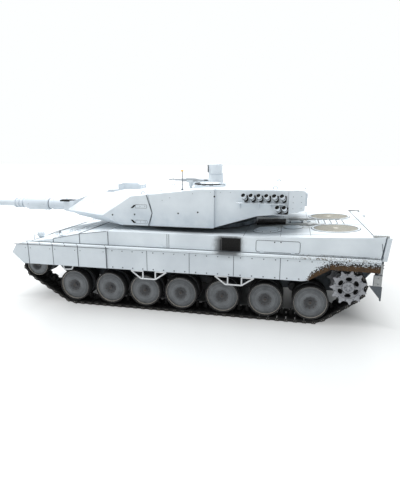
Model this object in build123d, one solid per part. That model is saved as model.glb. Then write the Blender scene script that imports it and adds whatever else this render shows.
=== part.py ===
from build123d import *
import math
import os

# A 1:16 radio-controlled model of a modern main battle tank with seven road wheels a side.
# Millimetres. +X is forward, +Y is the tank's left and +Z is up.
# Stations (X) are measured forward from the axle of the rearmost road wheel. write() then moves
# every piece back, so that the origin lies on the ground under the middle of the whole model.

# ---- overall size ----
REAR_END = -80.0                     # outer face of the rear plates
MUZZLE = 605.0                       # front face of the gun
ORIGIN_X = (REAR_END + MUZZLE) / 2
HALF_WIDTH = 117.5                   # outer face of the front skirts
FIT_GAP = 0.3                        # between pieces that move past each other
IDLER_GAP = 0.4                      # between the idler's rims and the links on them
RUNNING = 0.05                       # radial clearance of a shaft in its hole

# ---- running gear ----
WHEEL_STATIONS = (308.9, 257.0, 208.6, 160.2, 106.8, 53.4, 0.0)   # wheel 1 is at the front
AXLE_Z = 26.6
TYRE_R = 21.5
RIM_R = 18.6
TRACK_Y = 87.0                       # middle of each track
WHEEL_HALF = 17.0                    # half of the width over a pair of wheel discs
GUIDE_HALF = 4.0                     # half of the slot between the discs, for the guide horns
WHEEL_PIN_R = 2.5
PIN_SHORT = 3.5                      # from the end of a wheel's pin to the wheel's outer face
ARM_REACH = 21.0
ARM_PIVOT_Z = 34.0
ARM_PIVOT_R = 3.0
ARM_SIDE = 62.4                      # inner face of the swing arms
ARM_THICK = 6.0
ARM_DEPTH = 7.0
PIVOT_BOSS_R = 5.5
AXLE_BOSS_R = 5.0
SPROCKET_X = -41.0
SPROCKET_Z = 50.2
TEETH = 11
TOOTH_ROOT_R = 17.0
TOOTH_TIP_R = 21.3
RING_THICK = 2.5
DRUM_R = 14.0
HUB_R = 7.0
HUB_HOLES = 6
HUB_HOLE_R = 1.9
HUB_HOLE_CIRCLE_R = 10.6
DRIVE_SHAFT_R = 3.0
IDLER_X = 364.0
IDLER_Z = 52.0
IDLER_R = 15.0
ROLLER_STATIONS = (282.0, 190.0, 110.0, 28.0)
ROLLER_R = 5.5
ROLLER_Z = 62.0
ROLLER_INNER = 70.5
ROLLER_OUTER = 81.5

# ---- track ----
LINKS = 87
NOMINAL_PITCH = 10.9                 # from pin to pin
LINK_HALF_WIDTH = 17.7
LINK_HALF_LENGTH = 4.6
LINK_INNER = 1.75                    # from the pin line in to the running face
LINK_OUTER = 1.0                     # from the pin line out to the pad's foot
PAD_HEIGHT = 1.7
PAD_HALF_LENGTH = 3.3
PAD_WIDTH = 13.5
PAD_STARTS = (-15.5, 2.0)            # inner edge of each of a link's two pads, across the track
HORN_REACH = 8.5
HORN_HALF = 2.2
GROUND_TO_PIN = LINK_OUTER + PAD_HEIGHT
CORNER_R = 24.6                      # radius of the pin line under the end wheels
CORNER_SHIFT = 1.4                   # of that curve's centre, outwards from the end axles

# ---- hull ----
HULL_HALF = 110.0                    # sponson side walls
TUB_HALF = 61.0                      # lower hull side walls
WALL = 2.5
BELLY_Z = 30.0
SPONSON_Z = 82.0
ROOF_Z = 104.5
DECK_LINE = ((254.0, 104.5), (75.0, 104.5), (37.0, 106.3), (-62.0, 110.0), (-75.0, 111.3))
GLACIS_LINE = ((293.0, 99.5), (332.0, 91.3), (376.0, 84.5), (386.0, SPONSON_Z))
LEDGE_TOP = 86.0
LEDGE_BOTTOM = 83.7
SKIRT_BOTTOM = 57.5
SKIRT_REAR_BOTTOM = 72.0
SKIRT_REAR_X = -71.5
SKIRT_PITCH = 54.2                   # the six rear panels
FRONT_SEAMS = (253.7, 293.0, 329.0, 365.0)
PANEL_GAP = 0.5
REAR_SKIRT_THICK = 2.0
FRONT_SKIRT_THICK = 4.0
STEP_SPANS = ((221.0, 175.0), (113.6, 66.7))   # front and rear ends of the wire steps

# ---- turret ----
RING_X = 145.0                       # turret axis
RING_HOLE_R = 64.0
BEARING_R = 60.0
TURRET_FLOOR = 110.5
TURRET_ROOF = 158.0
TURRET_HALF = 95.0
BUSTLE_HALF = 92.0
TURRET_REAR = 12.0
NOSE_INNER = (355.0, 30.0, 118.5)    # inner end of the sharp edge of each wedge
NOSE_OUTER = (267.0, 95.0, 122.0)    # its outer end
WEDGE_TOP = (228.0, 95.0, 146.5)
WEDGE_FOOT = (240.0, 95.0, 110.5)
SLOT_BACK = 286.0                    # rear wall of the gun's slot
GUN_X = 300.0                        # trunnion axis
GUN_Z = 122.5
MANTLET_HALF = 28.5
TRUNNION_R = 4.0
LOADER_HATCH = (135.0, 40.0)
COMMANDER_HATCH = (160.0, -46.0)
HATCH_R = 15.0
SIGHT = (136.0, -6.0)
SIGHT_SPIGOT_R = 6.0
MACHINE_GUN = (161.0, 44.0)
PINTLE_R = 1.5
FAN_X = -28.0
FAN_Y = 50.0
FAN_R = 29.0

BIG = 400.0


# ---------------------------------------------------------------- helpers
def slab(points, y_from, y_to):
    """A side profile of (x, z) points, filled and extended from y_from to y_to."""
    outline = make_face(Plane.XZ * Polyline(*points, close=True))
    solid = extrude(outline, amount=y_to - y_from, dir=(0, 1, 0))
    return Pos(0, y_from, 0) * solid


def plate(points, z_from, z_to):
    """A plan outline of (x, y) points, filled and extended from z_from to z_to."""
    outline = make_face(Polyline(*points, close=True))
    return Pos(0, 0, z_from) * extrude(outline, amount=z_to - z_from, dir=(0, 0, 1))


def block(x_from, x_to, y_from, y_to, z_from, z_to):
    """A box given by its limits."""
    centre = Pos((x_from + x_to) / 2, (y_from + y_to) / 2, (z_from + z_to) / 2)
    return centre * Box(x_to - x_from, y_to - y_from, z_to - z_from)


def bar_x(y, z, radius, x_from, x_to):
    """A round bar along X."""
    return Pos((x_from + x_to) / 2, y, z) * Rot(0, 90, 0) * Cylinder(radius, x_to - x_from)


def bar_y(x, z, radius, y_from, y_to):
    """A round bar along Y."""
    return Pos(x, (y_from + y_to) / 2, z) * Rot(90, 0, 0) * Cylinder(radius, y_to - y_from)


def bar_z(x, y, radius, z_from, z_to):
    """A round bar along Z."""
    return Pos(x, y, (z_from + z_to) / 2) * Cylinder(radius, z_to - z_from)


def strut(start, end, radius):
    """A round bar between two points."""
    axis = Vector(*end) - Vector(*start)
    middle = (Vector(*start) + Vector(*end)) / 2
    return Plane(middle, z_dir=axis) * Cylinder(radius, axis.length)


def half_space(point, normal):
    """Everything on the side of a plane that its normal points to, as a very large box."""
    return Plane(point, z_dir=normal) * Pos(0, 0, BIG) * Box(4 * BIG, 4 * BIG, 2 * BIG)


def inset_line(points, depth):
    """A closed (a, b) outline moved inwards by depth, as (a, b) points."""
    face = make_face(Polyline(*points, close=True))
    inner = offset(face, amount=-depth, kind=Kind.INTERSECTION)
    ordered = inner.faces()[0].outer_wire().order_edges()
    return [(edge.position_at(0).X, edge.position_at(0).Y) for edge in ordered]


def right_side(shape):
    """The mirror image of a left-hand piece."""
    return mirror(shape, about=Plane.XZ)


def both_sides(shape):
    """A left-hand piece and its mirror image."""
    return [shape, right_side(shape)]


def deck_height(x):
    """Height of the hull's upper surface at a station."""
    line = sorted(DECK_LINE + GLACIS_LINE)
    for (x1, z1), (x2, z2) in zip(line, line[1:]):
        if x1 <= x <= x2:
            return z1 + (z2 - z1) * (x - x1) / (x2 - x1)
    return ROOF_Z


def deck_tilt(x):
    """Degrees about Y that lay a flat piece on the hull's upper surface at a station."""
    rise = deck_height(x + 1) - deck_height(x - 1)
    return -math.degrees(math.atan2(rise, 2))


def on_deck(x, y):
    """The place and tilt of something that stands on the hull's upper surface."""
    return Pos(x, y, deck_height(x)) * Rot(0, deck_tilt(x), 0)


def write(node, *shapes):
    """Write one node. It may hold several separate solids."""
    solids = []
    for shape in shapes:
        for item in (shape if isinstance(shape, list) else [shape]):
            solids.extend(item.solids())
    moved = [Pos(-ORIGIN_X, 0, 0) * solid for solid in solids]
    export_step(moved[0] if len(moved) == 1 else Compound(moved), f"parts/{node}.step")


# ---------------------------------------------------------------- track
def tangent_normal(first, second):
    """Outward normal of the straight run between two circles (x, z, radius) of a belt."""
    (x1, z1, r1), (x2, z2, r2) = first, second
    span = math.hypot(x2 - x1, z2 - z1)
    along_x, along_z = (x2 - x1) / span, (z2 - z1) / span
    lean = (r1 - r2) / span
    rise = math.sqrt(1 - lean ** 2)
    return along_x * lean - along_z * rise, along_z * lean + along_x * rise


def belt_pins(circles, count):
    """Pin centres, evenly spaced along a belt that goes round the circles like a clock hand."""
    following = circles[1:] + circles[:1]
    normals = [tangent_normal(first, second) for first, second in zip(circles, following)]
    pieces = []
    for index, (x, z, radius) in enumerate(circles):
        start = math.atan2(normals[index - 1][1], normals[index - 1][0])
        end = math.atan2(normals[index][1], normals[index][0])
        turn = (start - end) % (2 * math.pi)
        pieces.append((radius * turn, lambda s, x=x, z=z, r=radius, a=start: (
            x + r * math.cos(a - s / r), z + r * math.sin(a - s / r))))
        nx, nz = normals[index]
        x2, z2, radius2 = following[index]
        start_x, start_z = x + radius * nx, z + radius * nz
        end_x, end_z = x2 + radius2 * nx, z2 + radius2 * nz
        length = math.hypot(end_x - start_x, end_z - start_z)
        step = ((end_x - start_x) / length, (end_z - start_z) / length)
        pieces.append((length, lambda s, x=start_x, z=start_z, d=step: (x + s * d[0], z + s * d[1])))
    total = sum(length for length, _ in pieces)
    pins = []
    for number in range(count):
        distance = total * number / count
        for length, place in pieces:
            if distance <= length:
                break
            distance -= length
        pins.append(place(distance))
    return pins, total / count


def track_circles():
    """The circles that the pin line runs round: idler, front and rear wheel, sprocket."""
    half_pitch = NOMINAL_PITCH / 2
    sprocket_pin_r = half_pitch / math.sin(math.pi / TEETH)
    idler_pin_r = math.hypot(IDLER_R + IDLER_GAP + LINK_INNER, half_pitch)
    corner_z = GROUND_TO_PIN + CORNER_R
    return [(IDLER_X, IDLER_Z, idler_pin_r),
            (WHEEL_STATIONS[0] + CORNER_SHIFT, corner_z, CORNER_R),
            (WHEEL_STATIONS[-1] - CORNER_SHIFT, corner_z, CORNER_R),
            (SPROCKET_X, SPROCKET_Z, sprocket_pin_r)]


def link():
    """One track link, lying on its pin line with its pad up (+Z) and its guide horn down."""
    body = block(-LINK_HALF_LENGTH, LINK_HALF_LENGTH, -LINK_HALF_WIDTH, LINK_HALF_WIDTH,
                 -LINK_INNER, LINK_OUTER)
    pads = [block(-PAD_HALF_LENGTH, PAD_HALF_LENGTH, start, start + PAD_WIDTH,
                  LINK_OUTER, LINK_OUTER + PAD_HEIGHT) for start in PAD_STARTS]
    tip_half = HORN_HALF - 1.0
    horn = slab([(-HORN_HALF, -LINK_INNER), (HORN_HALF, -LINK_INNER), (tip_half, -HORN_REACH),
                 (-tip_half, -HORN_REACH)], -HORN_HALF, HORN_HALF)
    return body + pads + horn


def track(side):
    """All the links of one track, each a separate solid."""
    pins, pitch = belt_pins(track_circles(), LINKS)
    one_link = link()
    links = []
    for (x1, z1), (x2, z2) in zip(pins, pins[1:] + pins[:1]):
        turn = math.degrees(math.atan2(z1 - z2, x2 - x1))
        place = Pos((x1 + x2) / 2, side * TRACK_Y, (z1 + z2) / 2) * Rot(0, turn, 0)
        links.append(place * one_link)
    return links, pitch


# ---------------------------------------------------------------- running gear
def twin_disc(x, z, rim_r, tyre_r):
    """A pair of discs on one hub, with a rubber tyre on each, on the left side."""
    hub_r = 6.0
    cap_r = 4.0
    dish_depth = 4.0
    back_depth = 5.0
    outer = TRACK_Y + WHEEL_HALF
    inner = TRACK_Y - WHEEL_HALF
    body = bar_y(x, z, hub_r, inner, outer)
    body += bar_y(x, z, rim_r, TRACK_Y + GUIDE_HALF, outer)
    body += bar_y(x, z, rim_r, inner, TRACK_Y - GUIDE_HALF)
    body -= Pos(x, outer, z) * Rot(90, 0, 0) * Cone(rim_r - 1.0, hub_r + 3.0, dish_depth)
    recess = bar_y(x, z, rim_r - 2.0, inner, inner + back_depth)
    body -= recess - bar_y(x, z, hub_r, inner, inner + back_depth)
    body += bar_y(x, z, cap_r, outer - back_depth, outer - 0.5)
    body -= bar_y(x, z, WHEEL_PIN_R + RUNNING, inner, outer - PIN_SHORT + 0.5)
    tyres = []
    if tyre_r > rim_r:
        for low, high in ((inner, TRACK_Y - GUIDE_HALF), (TRACK_Y + GUIDE_HALF, outer)):
            tyres.append(bar_y(x, z, tyre_r, low, high) - bar_y(x, z, rim_r, low, high))
    return [body] + tyres


def swing_arm(x):
    """A trailing arm on the left side: pivot pin, arm and the axle pin of one road wheel."""
    pivot_x = x + ARM_REACH
    outer = ARM_SIDE + ARM_THICK
    lean = math.degrees(math.atan2(ARM_PIVOT_Z - AXLE_Z, ARM_REACH))
    length = math.hypot(ARM_REACH, ARM_PIVOT_Z - AXLE_Z)
    middle = Pos((x + pivot_x) / 2, ARM_SIDE + ARM_THICK / 2, (AXLE_Z + ARM_PIVOT_Z) / 2)
    arm = middle * Rot(0, -lean, 0) * Box(length, ARM_THICK, ARM_DEPTH)
    arm += bar_y(pivot_x, ARM_PIVOT_Z, PIVOT_BOSS_R, ARM_SIDE, outer)
    arm += bar_y(x, AXLE_Z, AXLE_BOSS_R, ARM_SIDE, outer)
    arm += bar_y(pivot_x, ARM_PIVOT_Z, ARM_PIVOT_R, TUB_HALF - WALL - 2.0, ARM_SIDE)
    arm += bar_y(x, AXLE_Z, WHEEL_PIN_R, outer, TRACK_Y + WHEEL_HALF - PIN_SHORT)
    return arm


def tooth_ring():
    """The outline of a sprocket ring, in its own plane."""
    step = 2 * math.pi / TEETH
    points = []
    for number in range(TEETH):
        middle = number * step
        for offset_angle, radius in ((-0.30, TOOTH_ROOT_R), (-0.13, TOOTH_TIP_R),
                                     (0.13, TOOTH_TIP_R), (0.30, TOOTH_ROOT_R)):
            angle = middle + offset_angle * step
            points.append((radius * math.cos(angle), radius * math.sin(angle)))
    return points


def sprocket():
    """The left drive sprocket: two toothed rings on a drum, with its drive shaft."""
    ring_out = TRACK_Y + LINK_HALF_WIDTH + 2 * FIT_GAP
    ring_in = TRACK_Y - LINK_HALF_WIDTH - 2 * FIT_GAP - RING_THICK
    points = [(SPROCKET_X + px, SPROCKET_Z + pz) for px, pz in tooth_ring()]
    body = slab(points, ring_out, ring_out + RING_THICK)
    body += slab(points, ring_in, ring_in + RING_THICK)
    body += bar_y(SPROCKET_X, SPROCKET_Z, DRUM_R, TRACK_Y + GUIDE_HALF, ring_out)
    body += bar_y(SPROCKET_X, SPROCKET_Z, DRUM_R, ring_in, TRACK_Y - GUIDE_HALF)
    body += bar_y(SPROCKET_X, SPROCKET_Z, HUB_R + 1.0, ring_in, ring_out)
    body -= bar_y(SPROCKET_X, SPROCKET_Z, DRUM_R - 0.8, TRACK_Y + GUIDE_HALF + 2,
                  ring_out + RING_THICK)
    body += bar_y(SPROCKET_X, SPROCKET_Z, HUB_R, TRACK_Y + GUIDE_HALF, ring_out + RING_THICK)
    face = bar_y(SPROCKET_X, SPROCKET_Z, DRUM_R - 0.5, ring_out - 1.5, ring_out + 0.7)
    for number in range(HUB_HOLES):
        angle = 2 * math.pi * number / HUB_HOLES
        hole_x = SPROCKET_X + HUB_HOLE_CIRCLE_R * math.cos(angle)
        hole_z = SPROCKET_Z + HUB_HOLE_CIRCLE_R * math.sin(angle)
        face -= bar_y(hole_x, hole_z, HUB_HOLE_R, ring_out - 2, ring_out + 2)
    body += face
    body += bar_y(SPROCKET_X, SPROCKET_Z, DRIVE_SHAFT_R, TUB_HALF - WALL - 4.0, ring_in)
    return body


def idler():
    """The left idler wheel: twin discs with bare rims."""
    return twin_disc(IDLER_X, IDLER_Z, IDLER_R, IDLER_R)


def return_rollers():
    """Four small rollers a side, each on its own bracket, that carry the track's top run."""
    pieces = []
    for x in ROLLER_STATIONS:
        roller = bar_y(x, ROLLER_Z, ROLLER_R, ROLLER_INNER, ROLLER_OUTER)
        axle = bar_y(x, ROLLER_Z, 1.8, TUB_HALF, ROLLER_OUTER + 1.0)
        flange = bar_y(x, ROLLER_Z, ROLLER_R - 1.0, TUB_HALF, TUB_HALF + 1.2)
        pieces.append(roller - axle)
        pieces.append(axle + flange)
    return [part for piece in pieces for part in both_sides(piece)]


# ---------------------------------------------------------------- hull
def tub_outline():
    """Side profile of the lower hull as (x, z) points."""
    return [(-52.0, BELLY_Z), (345.0, BELLY_Z), (388.0, 70.0), (386.0, SPONSON_Z),
            (-71.0, SPONSON_Z), (-75.5, 60.0)]


def tub_solid():
    """The lower hull as a filled block, for trimming what is fastened to it."""
    return slab(tub_outline(), -TUB_HALF, TUB_HALF)


def lower_hull():
    """The tub: belly, side walls with the bearing holes, sloped ends."""
    tub = tub_solid()
    inside = inset_line(tub_outline(), WALL)
    tub -= slab(inside, -TUB_HALF + WALL, TUB_HALF - WALL)
    tub -= block(-66.0, 378.0, -TUB_HALF + WALL, TUB_HALF - WALL, SPONSON_Z - WALL - 1, SPONSON_Z + 1)
    left = []
    holes = []
    for x in WHEEL_STATIONS:
        pivot_x = x + ARM_REACH
        left.append(bar_y(pivot_x, ARM_PIVOT_Z + 0.5, ARM_PIVOT_R + 1.0, TUB_HALF - WALL - 1.5,
                          TUB_HALF))
        holes.append(bar_y(pivot_x, ARM_PIVOT_Z, ARM_PIVOT_R + RUNNING, TUB_HALF - 11, TUB_HALF + 4))
    drive_face = TRACK_Y - LINK_HALF_WIDTH - 2 * FIT_GAP - RING_THICK - FIT_GAP
    left.append(bar_y(SPROCKET_X, SPROCKET_Z, DRUM_R - 1.0, TUB_HALF - WALL, drive_face))
    holes.append(bar_y(SPROCKET_X, SPROCKET_Z, DRIVE_SHAFT_R + RUNNING, TUB_HALF - 11, TUB_HALF + 14))
    idler_face = TRACK_Y - WHEEL_HALF - 1.5
    left.append(bar_y(IDLER_X, IDLER_Z, 8.0, TUB_HALF - WALL - 3.0, idler_face))
    left.append(bar_y(IDLER_X, IDLER_Z, WHEEL_PIN_R, idler_face - 0.5,
                      TRACK_Y + WHEEL_HALF - PIN_SHORT))
    for piece in left:
        tub += both_sides(piece)
    for hole in holes:
        tub -= both_sides(hole)
    return tub


def hull_outline():
    """Side profile of the upper hull as (x, z) points."""
    return [(-71.0, SPONSON_Z)] + sorted(DECK_LINE + GLACIS_LINE)


def hull_solid():
    """The upper hull as a filled block, for trimming what is fastened to it."""
    return slab(hull_outline(), -HULL_HALF, HULL_HALF)


def upper_hull():
    """The upper shell: side walls, deck, glacis and sponson floors, with its cut-outs."""
    outline = hull_outline()
    shell = slab(outline, -HULL_HALF, HULL_HALF)
    shell -= slab(inset_line(outline, WALL), -HULL_HALF + WALL, HULL_HALF - WALL)
    shell -= block(-66.0, 374.0, -TUB_HALF + WALL, TUB_HALF - WALL, SPONSON_Z - 1, SPONSON_Z + WALL + 1)
    ledge = [(SKIRT_REAR_X, LEDGE_BOTTOM), (378.0, LEDGE_BOTTOM), (374.0, LEDGE_TOP),
             (SKIRT_REAR_X, LEDGE_TOP)]
    shell += both_sides(slab(ledge, HULL_HALF - WALL, HALF_WIDTH))
    shell -= bar_z(RING_X, 0, RING_HOLE_R, ROOF_Z - 10, ROOF_Z + 10)
    for side in (-1, 1):
        fan_hole = on_deck(FAN_X, side * FAN_Y) * Cylinder(FAN_R - 2.5, 20)
        shell -= fan_hole
    front_flap = slab([(366.0, SPONSON_Z), (386.0, SPONSON_Z), (390.5, 72.0), (388.5, 71.0),
                       (382.5, 79.5), (366.0, 79.5)], TUB_HALF + 6, HALF_WIDTH - FRONT_SKIRT_THICK)
    shell += both_sides(front_flap)
    return shell


def skirt():
    """The left skirt: six thin rear panels and three thick front panels with a sloped tip."""
    outer = HALF_WIDTH
    outline = [(SKIRT_REAR_X, LEDGE_BOTTOM), (SKIRT_REAR_X, SKIRT_REAR_BOTTOM),
               (-19.0, SKIRT_REAR_BOTTOM + 1), (5.0, SKIRT_BOTTOM + 1), (12.0, SKIRT_BOTTOM),
               (374.0, SKIRT_BOTTOM), (380.0, 63.0), (390.0, 71.8), (382.0, LEDGE_BOTTOM)]
    seams = [SKIRT_REAR_X + SKIRT_PITCH * number for number in range(6)]
    seams += list(FRONT_SEAMS) + [392.0]
    panels = []
    for low, high in zip(seams, seams[1:]):
        is_rear = high <= FRONT_SEAMS[0]
        thick = REAR_SKIRT_THICK if is_rear else FRONT_SKIRT_THICK
        face = outer - 0.8 if is_rear else outer
        limits = block(low + PANEL_GAP / 2, high - PANEL_GAP / 2, face - thick, face, 50, 90)
        panels.append(slab(outline, face - thick, face) & limits)
    return panels


def side_steps():
    """Folded wire steps under the skirts: two a side, and a short hook near the front."""
    y = HALF_WIDTH - 1.6
    wire_r = 0.9
    hook_r = 0.8
    top = SKIRT_BOTTOM - wire_r
    foot = 46.8
    pieces = []
    for front, rear in STEP_SPANS:
        width = front - rear
        low_front = front - 0.27 * width
        low_rear = rear + 0.31 * width
        post = low_front - 3
        wires = [((front, top), (low_front, foot)), ((low_front, foot), (low_rear, foot)),
                 ((low_rear, foot), (rear, top)), ((post, top), (post, foot)),
                 ((low_rear, top), (low_rear, foot)), ((front, top), (post, top)),
                 ((low_rear, top), (rear, top))]
        frame = [strut((x1, y, z1), (x2, y, z2), wire_r) for (x1, z1), (x2, z2) in wires]
        step = frame[0]
        for wire in frame[1:]:
            step += wire
        pieces.append(step)
    hook = strut((316.0, y, SKIRT_BOTTOM), (315.0, y, 52.0), hook_r)
    hook += strut((315.0, y, 52.0), (304.0, y, 53.0), hook_r)
    hook += strut((304.0, y, 53.0), (302.0, y, SKIRT_BOTTOM), hook_r)
    pieces.append(hook - block(290.0, 330.0, y - 4, y + 4, SKIRT_BOTTOM, 70.0))
    return [part for piece in pieces for part in both_sides(piece)]


def fan_grilles():
    """Two round cooling-fan covers on the rear deck: a raised rim and a mesh disc each."""
    pieces = []
    for side in (-1, 1):
        place = on_deck(FAN_X, side * FAN_Y)
        rim = Pos(0, 0, 0.5) * Cylinder(FAN_R, 1.0) - Pos(0, 0, 0.5) * Cylinder(FAN_R - 2.5, 1.0)
        mesh = Pos(0, 0, -0.4) * Cylinder(FAN_R - 2.5, 0.8)
        hub = Pos(0, 0, 0.4) * Cylinder(3.5, 0.8)
        pieces.append(place * rim)
        pieces.append(place * (mesh + hub))
    return pieces


def deck_fittings():
    """Fixed covers on the engine deck, all below the sweep of the turret."""
    dome = on_deck(56.0, 66.0) * Cone(17.5, 12.0, 3.4, align=(Align.CENTER, Align.CENTER, Align.MIN))
    cap = on_deck(24.0, 44.0) * Cone(12.0, 9.0, 2.0, align=(Align.CENTER, Align.CENTER, Align.MIN))
    box = on_deck(55.0, 7.0) * Pos(0, 0, 1.8) * Box(32.0, 30.0, 3.6)
    tube = on_deck(20.0, 8.0) * Pos(0, 0, 1.4) * Rot(0, 90, 0) * Cylinder(1.4, 22.0)
    louvres = [on_deck(x, 0) * Pos(0, 0, 0.4) * Box(3.0, 34.0, 0.8) for x in (-8, -16, -24, -32, -40)]
    bracket = on_deck(3.0, -2.0) * Pos(0, 0, 0.9) * Box(5.0, 8.0, 1.8)
    mirrored = right_side(dome)
    return [dome, mirrored, cap, box, tube, bracket] + louvres


def front_fittings():
    """Headlamps on the glacis, driver's periscopes, wing mirror stalks and tow hooks."""
    pieces = []
    lamp = bar_x(86.0, 91.5, 4.0, 361.0, 369.0) + block(362.0, 368.0, 84.0, 88.0, 84.5, 89.0)
    guard = strut((372.0, 80.0, 85.0), (371.0, 80.0, 94.0), 0.8)
    guard += strut((371.0, 80.0, 94.0), (371.0, 92.0, 94.0), 0.8)
    guard += strut((371.0, 92.0, 94.0), (372.0, 92.0, 85.0), 0.8)
    hook_plate = block(386.0, 394.0, 38.0, 42.0, 54.0, 66.0) - bar_y(391.0, 60.0, 2.0, 37.0, 43.0)
    mirror_foot = block(318.0, 326.0, 100.0, 106.0, deck_height(322.0) - 0.6, deck_height(322.0) + 2.4)
    for piece in (lamp, guard, hook_plate, mirror_foot):
        pieces += both_sides(piece - hull_solid() - tub_solid())
    for y in (-62.0, -52.0, -42.0):
        pieces.append(on_deck(303.0, y) * Pos(0, 0, 1.5) * Box(5.0, 8.0, 3.0))
    return pieces


def rear_fittings():
    """Rear plates, mud flaps with their brackets, tail lamps, louvres and tow hooks."""
    plate_line = [(-77.4, 109.0), (REAR_END, 109.0), (-77.0, 85.0), (-74.4, 85.0)]
    rear_plate = slab(plate_line, 64.0, HULL_HALF)
    spacers = slab([(-74.6, 104.0), (-78.4, 104.0), (-77.9, 100.0), (-74.0, 100.0)], 70.0, 74.0)
    spacers += slab([(-74.6, 104.0), (-78.4, 104.0), (-77.9, 100.0), (-74.0, 100.0)], 100.0, 104.0)
    side_plate = rear_plate + spacers
    flap = plate([(-76.6, 70.0), (-75.0, 70.0), (-75.0, 107.0), (-76.6, 107.0)], 36.0, SPONSON_Z)
    flap -= half_space((0, 107.0, 36.0), (0, -1.0, -3.2))
    bracket = block(-79.0, -69.5, 108.2, 110.0, 52.0, SKIRT_REAR_BOTTOM + 8)
    bracket += block(-79.0, -76.6, 96.0, 110.0, 53.0, 66.0)
    lamp = bar_x(46.0, 96.0, 3.4, -77.5, -73.0)
    grille = block(-77.0, -72.0, 8.0, 40.0, 88.0, 104.0)
    hook = block(-81.0 + 1.0, -73.0, 38.0, 42.0, 52.0, 64.0) - bar_y(-77.0, 58.0, 2.0, 37.0, 43.0)
    trim = [block(-79.0, -73.8, y, y + 2.2, 110.4, 112.4) for y in (96.0, 99.6, 103.2, 106.8)]
    pieces = []
    for piece in [side_plate, flap, bracket, lamp, grille, hook] + trim:
        pieces += both_sides(piece - hull_solid() - tub_solid())
    return pieces


def turret_bearing():
    """The ring that carries the turret, seated in the hull roof."""
    ring = bar_z(RING_X, 0, RING_HOLE_R, ROOF_Z - 6.5, ROOF_Z)
    ring += bar_z(RING_X, 0, 68.0, ROOF_Z, ROOF_Z + 1.0)
    return ring - bar_z(RING_X, 0, BEARING_R, ROOF_Z - 10, ROOF_Z + 5)


def driver_hatch():
    """The driver's lid, which swings sideways about an upright pin."""
    place = on_deck(278.0, -46.0)
    lid = place * Pos(0, 0, 0.3 + 1.2) * Cylinder(14.0, 2.4)
    arm = place * Pos(0, -15.0, 0.3 + 1.2) * Box(9.0, 10.0, 2.4)
    return lid + arm


# ---------------------------------------------------------------- things inside the hull
def drive_gearboxes():
    """A gearbox and motor for each sprocket."""
    box = block(-48.0, -14.0, 6.0, 52.0, BELLY_Z + WALL, 68.0)
    box -= bar_y(SPROCKET_X, SPROCKET_Z, DRIVE_SHAFT_R + RUNNING + 1.0, 45.0, 60.0)
    motor = bar_x(24.0, 50.0, 12.0, -14.0, 30.0)
    return both_sides(box + motor)


def battery_pack():
    """A brick battery on the hull floor."""
    return block(60.0, 160.0, -23.0, 23.0, BELLY_Z + WALL, BELLY_Z + WALL + 25.0)


def electronics():
    """Control board on its posts, and the sound unit's round speaker."""
    board = block(190.0, 270.0, -35.0, 35.0, 44.0, 45.6)
    for x, y, size in ((210, 0, 14), (240, -15, 10), (240, 15, 10), (258, 0, 8)):
        board += block(x - size / 2, x + size / 2, y - size / 2, y + size / 2, 45.6, 49.0)
    for x in (194.0, 266.0):
        for y in (-31.0, 31.0):
            board += bar_z(x, y, 2.5, BELLY_Z + WALL, 44.0)
    speaker = bar_z(310.0, 0, 20.0, BELLY_Z + WALL, BELLY_Z + WALL + 9.0)
    return [board, speaker]


def turret_drive():
    """The traverse motor and the gun's lifting servo, on the turret base."""
    floor = TURRET_FLOOR + WALL
    motor = bar_z(180.0, 25.0, 10.0, floor, floor + 24.0) + bar_z(180.0, 25.0, 3.0, 94.0, floor)
    servo = block(230.0, 262.0, -10.0, 10.0, floor, floor + 18.0)
    return [motor, servo]


# ---------------------------------------------------------------- turret
def turret_plan():
    """Plan outline of the turret, with the gun's slot at the front."""
    left = [(SLOT_BACK, NOSE_INNER[1]), (NOSE_INNER[0], NOSE_INNER[1]),
            (NOSE_OUTER[0], TURRET_HALF), (119.0, TURRET_HALF), (119.0, BUSTLE_HALF),
            (31.0, BUSTLE_HALF), (TURRET_REAR, 80.0)]
    return left + [(x, -y) for x, y in reversed(left)]


def turret_profile():
    """Side profile of the turret before the wedges are cut."""
    return [(380.0, TURRET_FLOOR), (122.0, TURRET_FLOOR), (68.0, 127.0), (31.0, 131.0),
            (TURRET_REAR, 133.5), (TURRET_REAR, 156.5), (18.0, TURRET_ROOF), (135.0, TURRET_ROOF),
            (231.0, 147.0), (312.0, 144.0), (380.0, 142.0)]


def wedge_cut(first, second, third, depth):
    """Half space outside the plane through three points, moved inwards by depth."""
    normal = (Vector(*second) - Vector(*first)).cross(Vector(*third) - Vector(*first)).normalized()
    if normal.X < 0:
        normal = normal * -1
    point = Vector(*first) - normal * depth
    return half_space(point, normal)


def turret_form(depth):
    """The turret's solid form, with every face moved inwards by depth."""
    plan = turret_plan()
    profile = turret_profile()
    if depth:
        plan = inset_line(plan, depth)
        profile = inset_line(profile, depth)
    form = plate(plan, 90.0, 170.0) & slab(profile, -TURRET_HALF, TURRET_HALF)
    upper = wedge_cut(NOSE_INNER, NOSE_OUTER, WEDGE_TOP, depth)
    lower = wedge_cut(NOSE_INNER, NOSE_OUTER, WEDGE_FOOT, depth)
    for cut in (upper, lower):
        form -= both_sides(cut)
    return form


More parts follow.
